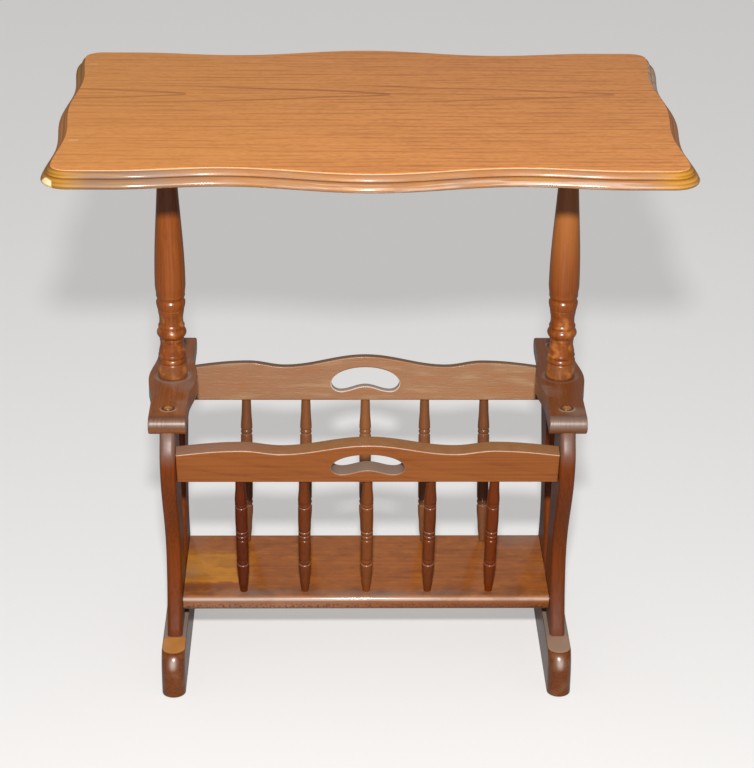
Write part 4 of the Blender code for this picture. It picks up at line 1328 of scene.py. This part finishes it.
class STAND_OT_spindles(bpy.types.Operator):
    """Turn the spindles of both racks"""

    bl_idname = "stand.spindles"
    bl_label = "Spindles"

    def execute(self, context):
        rows = SPINDLE_SHARES
        profile = turned_profile(SPINDLE_LENGTH, SPINDLE_RADIUS, SPINDLE_START_SHARE, rows)
        segments = context.scene.stand_sizes.spindle_segments
        for name, end in ENDS:
            for number in range(1, SPINDLE_COUNT + 1):
                x = (number - (SPINDLE_COUNT + 1) / 2) * SPINDLE_SPACING
                place = rack_place(end, x, SPINDLE_FOOT_REACH, SHELF_HIGH.z)
                node = f"spindle_{name}_{number}"
                place_piece(node, spun(profile, segments), "spindle_wood", place)
        return {"FINISHED"}


class STAND_OT_shelf(bpy.types.Operator):
    """Make the shelf with rounded front and rear edges"""

    bl_idname = "stand.shelf"
    bl_label = "Shelf"

    def execute(self, context):
        radius = context.scene.stand_sizes.shelf_edge
        half_height = (SHELF_HIGH.z - SHELF_LOW.z) / 2
        section = rounded_section(SHELF_HIGH.y, half_height, radius, SHELF_EDGE_STEPS)
        edge = with_flat(quarter_turn(SHELF_END_EDGE, SHELF_END_STEPS))
        shape = slab([[(z, y) for y, z in section]], SHELF_HIGH.x - SHELF_LOW.x, edge, edge)
        shape.transform(SWAP_X_AND_Z)
        bmesh.ops.recalc_face_normals(shape, faces=shape.faces)
        place = Matrix.Translation((SHELF_LOW.x, 0, SHELF_LOW.z + half_height))
        place_piece("shelf", shape, "shelf_wood", place)
        return {"FINISHED"}


class STAND_OT_fixings(bpy.types.Operator):
    """Finish the cleats, screws and dowels, which keep their frame shapes"""

    bl_idname = "stand.fixings"
    bl_label = "Fixings"

    def execute(self, context):
        finishes = {"_screw_": "screw_steel", "_dowel_": "dowel_wood", "top_cleat_": "cleat_wood"}
        for name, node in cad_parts.items():
            for word, finish in finishes.items():
                if word in name:
                    node.data.materials.clear()
                    node.data.materials.append(material(finish))
        return {"FINISHED"}


class STAND_OT_stage(bpy.types.Operator):
    """Set up the floor, the lamp, the sky and the camera"""

    bl_idname = "stand.stage"
    bl_label = "Stage"

    def execute(self, context):
        scene, stage = context.scene, context.scene.stand_stage
        self.add_floor(scene, stage)
        self.add_camera(scene, stage)
        self.add_lamp(scene, stage)
        self.add_sky(scene, stage)
        scene.view_settings.view_transform = "Standard"
        return {"FINISHED"}

    def add_floor(self, scene, stage):
        nodes = Nodes("floor_paint")
        seen = nodes.add("ShaderNodeLightPath", output="Is Camera Ray")
        seen = seen.larger(nodes.add("ShaderNodeLightPath", output="Is Transmission Ray"))
        # Varnish mirrors only a share of the pale floor, because all of it would grey the browns
        mirrored = nodes.add("ShaderNodeLightPath", output="Is Glossy Ray")
        seen = seen.larger(mirrored * stage.floor_mirror)
        paint = nodes.close(
            Base_Color=nodes.mix(seen, [stage.floor_bounce] * 3, stage.floor_colour),
            Roughness=FLOOR_ROUGHNESS,
            Emission_Color=nodes.mix(seen, [0] * 3, stage.floor_glow),
            Emission_Strength=1.0,
        )
        shape = bmesh.new()
        bmesh.ops.create_grid(shape, x_segments=1, y_segments=1, size=FLOOR_HALF_WIDTH)
        mesh = bpy.data.meshes.new("floor")
        shape.to_mesh(mesh)
        shape.free()
        mesh.materials.append(paint)
        piece = bpy.data.objects.new("floor", mesh)
        scene.collection.objects.link(piece)

    def add_camera(self, scene, stage):
        lens = bpy.data.cameras.new("photo_camera")
        lens.sensor_fit = "HORIZONTAL"
        lens.sensor_width = FILM_WIDTH
        lens.lens = stage.lens
        lens.clip_end = CLIP_END
        camera = bpy.data.objects.new("photo_camera", lens)
        scene.collection.objects.link(camera)
        turn = Matrix.Rotation(-stage.camera_yaw, 4, "Z")
        turn = turn @ Matrix.Rotation(QUARTER - stage.camera_pitch, 4, "X")
        turn = turn @ Matrix.Rotation(stage.camera_roll, 4, "Z")
        camera.matrix_world = Matrix.Translation(stage.camera_place) @ turn
        scene.camera = camera

    def add_lamp(self, scene, stage):
        lamp = bpy.data.lights.new("key_lamp", "AREA")
        lamp.shape = "DISK"
        lamp.size = stage.key_size
        lamp.energy = stage.key_power
        key = bpy.data.objects.new("key_lamp", lamp)
        scene.collection.objects.link(key)
        place = Vector(stage.camera_place) + Vector((0, 0, stage.key_rise))
        aim = Vector((0, 0, (SHELF_HIGH.z + TOP_HIGH.z) / 2)) - place
        turn = aim.to_track_quat("-Z", "Y").to_matrix().to_4x4()
        key.matrix_world = Matrix.Translation(place) @ turn

    def add_sky(self, scene, stage):
        """An even sky, which only the camera sees as pale as the floor's far edge."""
        world = bpy.data.worlds.new("sky")
        scene.world = world
        world.use_nodes = True
        tree = world.node_tree
        background = tree.nodes["Background"]
        background.inputs["Color"].default_value = (1, 1, 1, 1)
        seen = tree.nodes.new("ShaderNodeLightPath")
        strength = tree.nodes.new("ShaderNodeMix")
        strength.inputs["A"].default_value = stage.sky
        strength.inputs["B"].default_value = stage.backdrop
        tree.links.new(seen.outputs["Is Camera Ray"], strength.inputs["Factor"])
        tree.links.new(strength.outputs["Result"], background.inputs["Strength"])


class STAND_PT_panel(bpy.types.Panel):
    """Lists the sizes, the colours and the steps of the stand"""

    bl_idname = "STAND_PT_panel"
    bl_label = "Magazine Stand"
    bl_space_type = "VIEW_3D"
    bl_region_type = "UI"
    bl_category = "Stand"

    def draw(self, context):
        for group in (
            context.scene.stand_sizes,
            context.scene.stand_colours,
            context.scene.stand_stage,
        ):
            box = self.layout.box()
            for key in group.bl_rna.properties.keys():
                if key not in ("rna_type", "name"):
                    box.prop(group, key)
        for operator in OPERATORS:
            self.layout.operator(operator.bl_idname)


OPERATORS = (
    STAND_OT_table_top,
    STAND_OT_posts,
    STAND_OT_caps,
    STAND_OT_buttons,
    STAND_OT_legs,
    STAND_OT_runners,
    STAND_OT_rails,
    STAND_OT_spindles,
    STAND_OT_shelf,
    STAND_OT_fixings,
    STAND_OT_stage,
)
GROUPS = (
    ("stand_sizes", StandSizes),
    ("stand_colours", StandColours),
    ("stand_stage", StandStage),
)


def register():
    for key, group in GROUPS:
        bpy.utils.register_class(group)
        setattr(bpy.types.Scene, key, PointerProperty(type=group))
    for item in (*OPERATORS, STAND_PT_panel):
        bpy.utils.register_class(item)


def unregister():
    for item in (STAND_PT_panel, *reversed(OPERATORS)):
        bpy.utils.unregister_class(item)
    for key, group in reversed(GROUPS):
        delattr(bpy.types.Scene, key)
        bpy.utils.unregister_class(group)


def main():
    register()
    for operator in OPERATORS:
        group, name = operator.bl_idname.split(".")
        getattr(getattr(bpy.ops, group), name)()


if __name__ == "__main__":
    main()
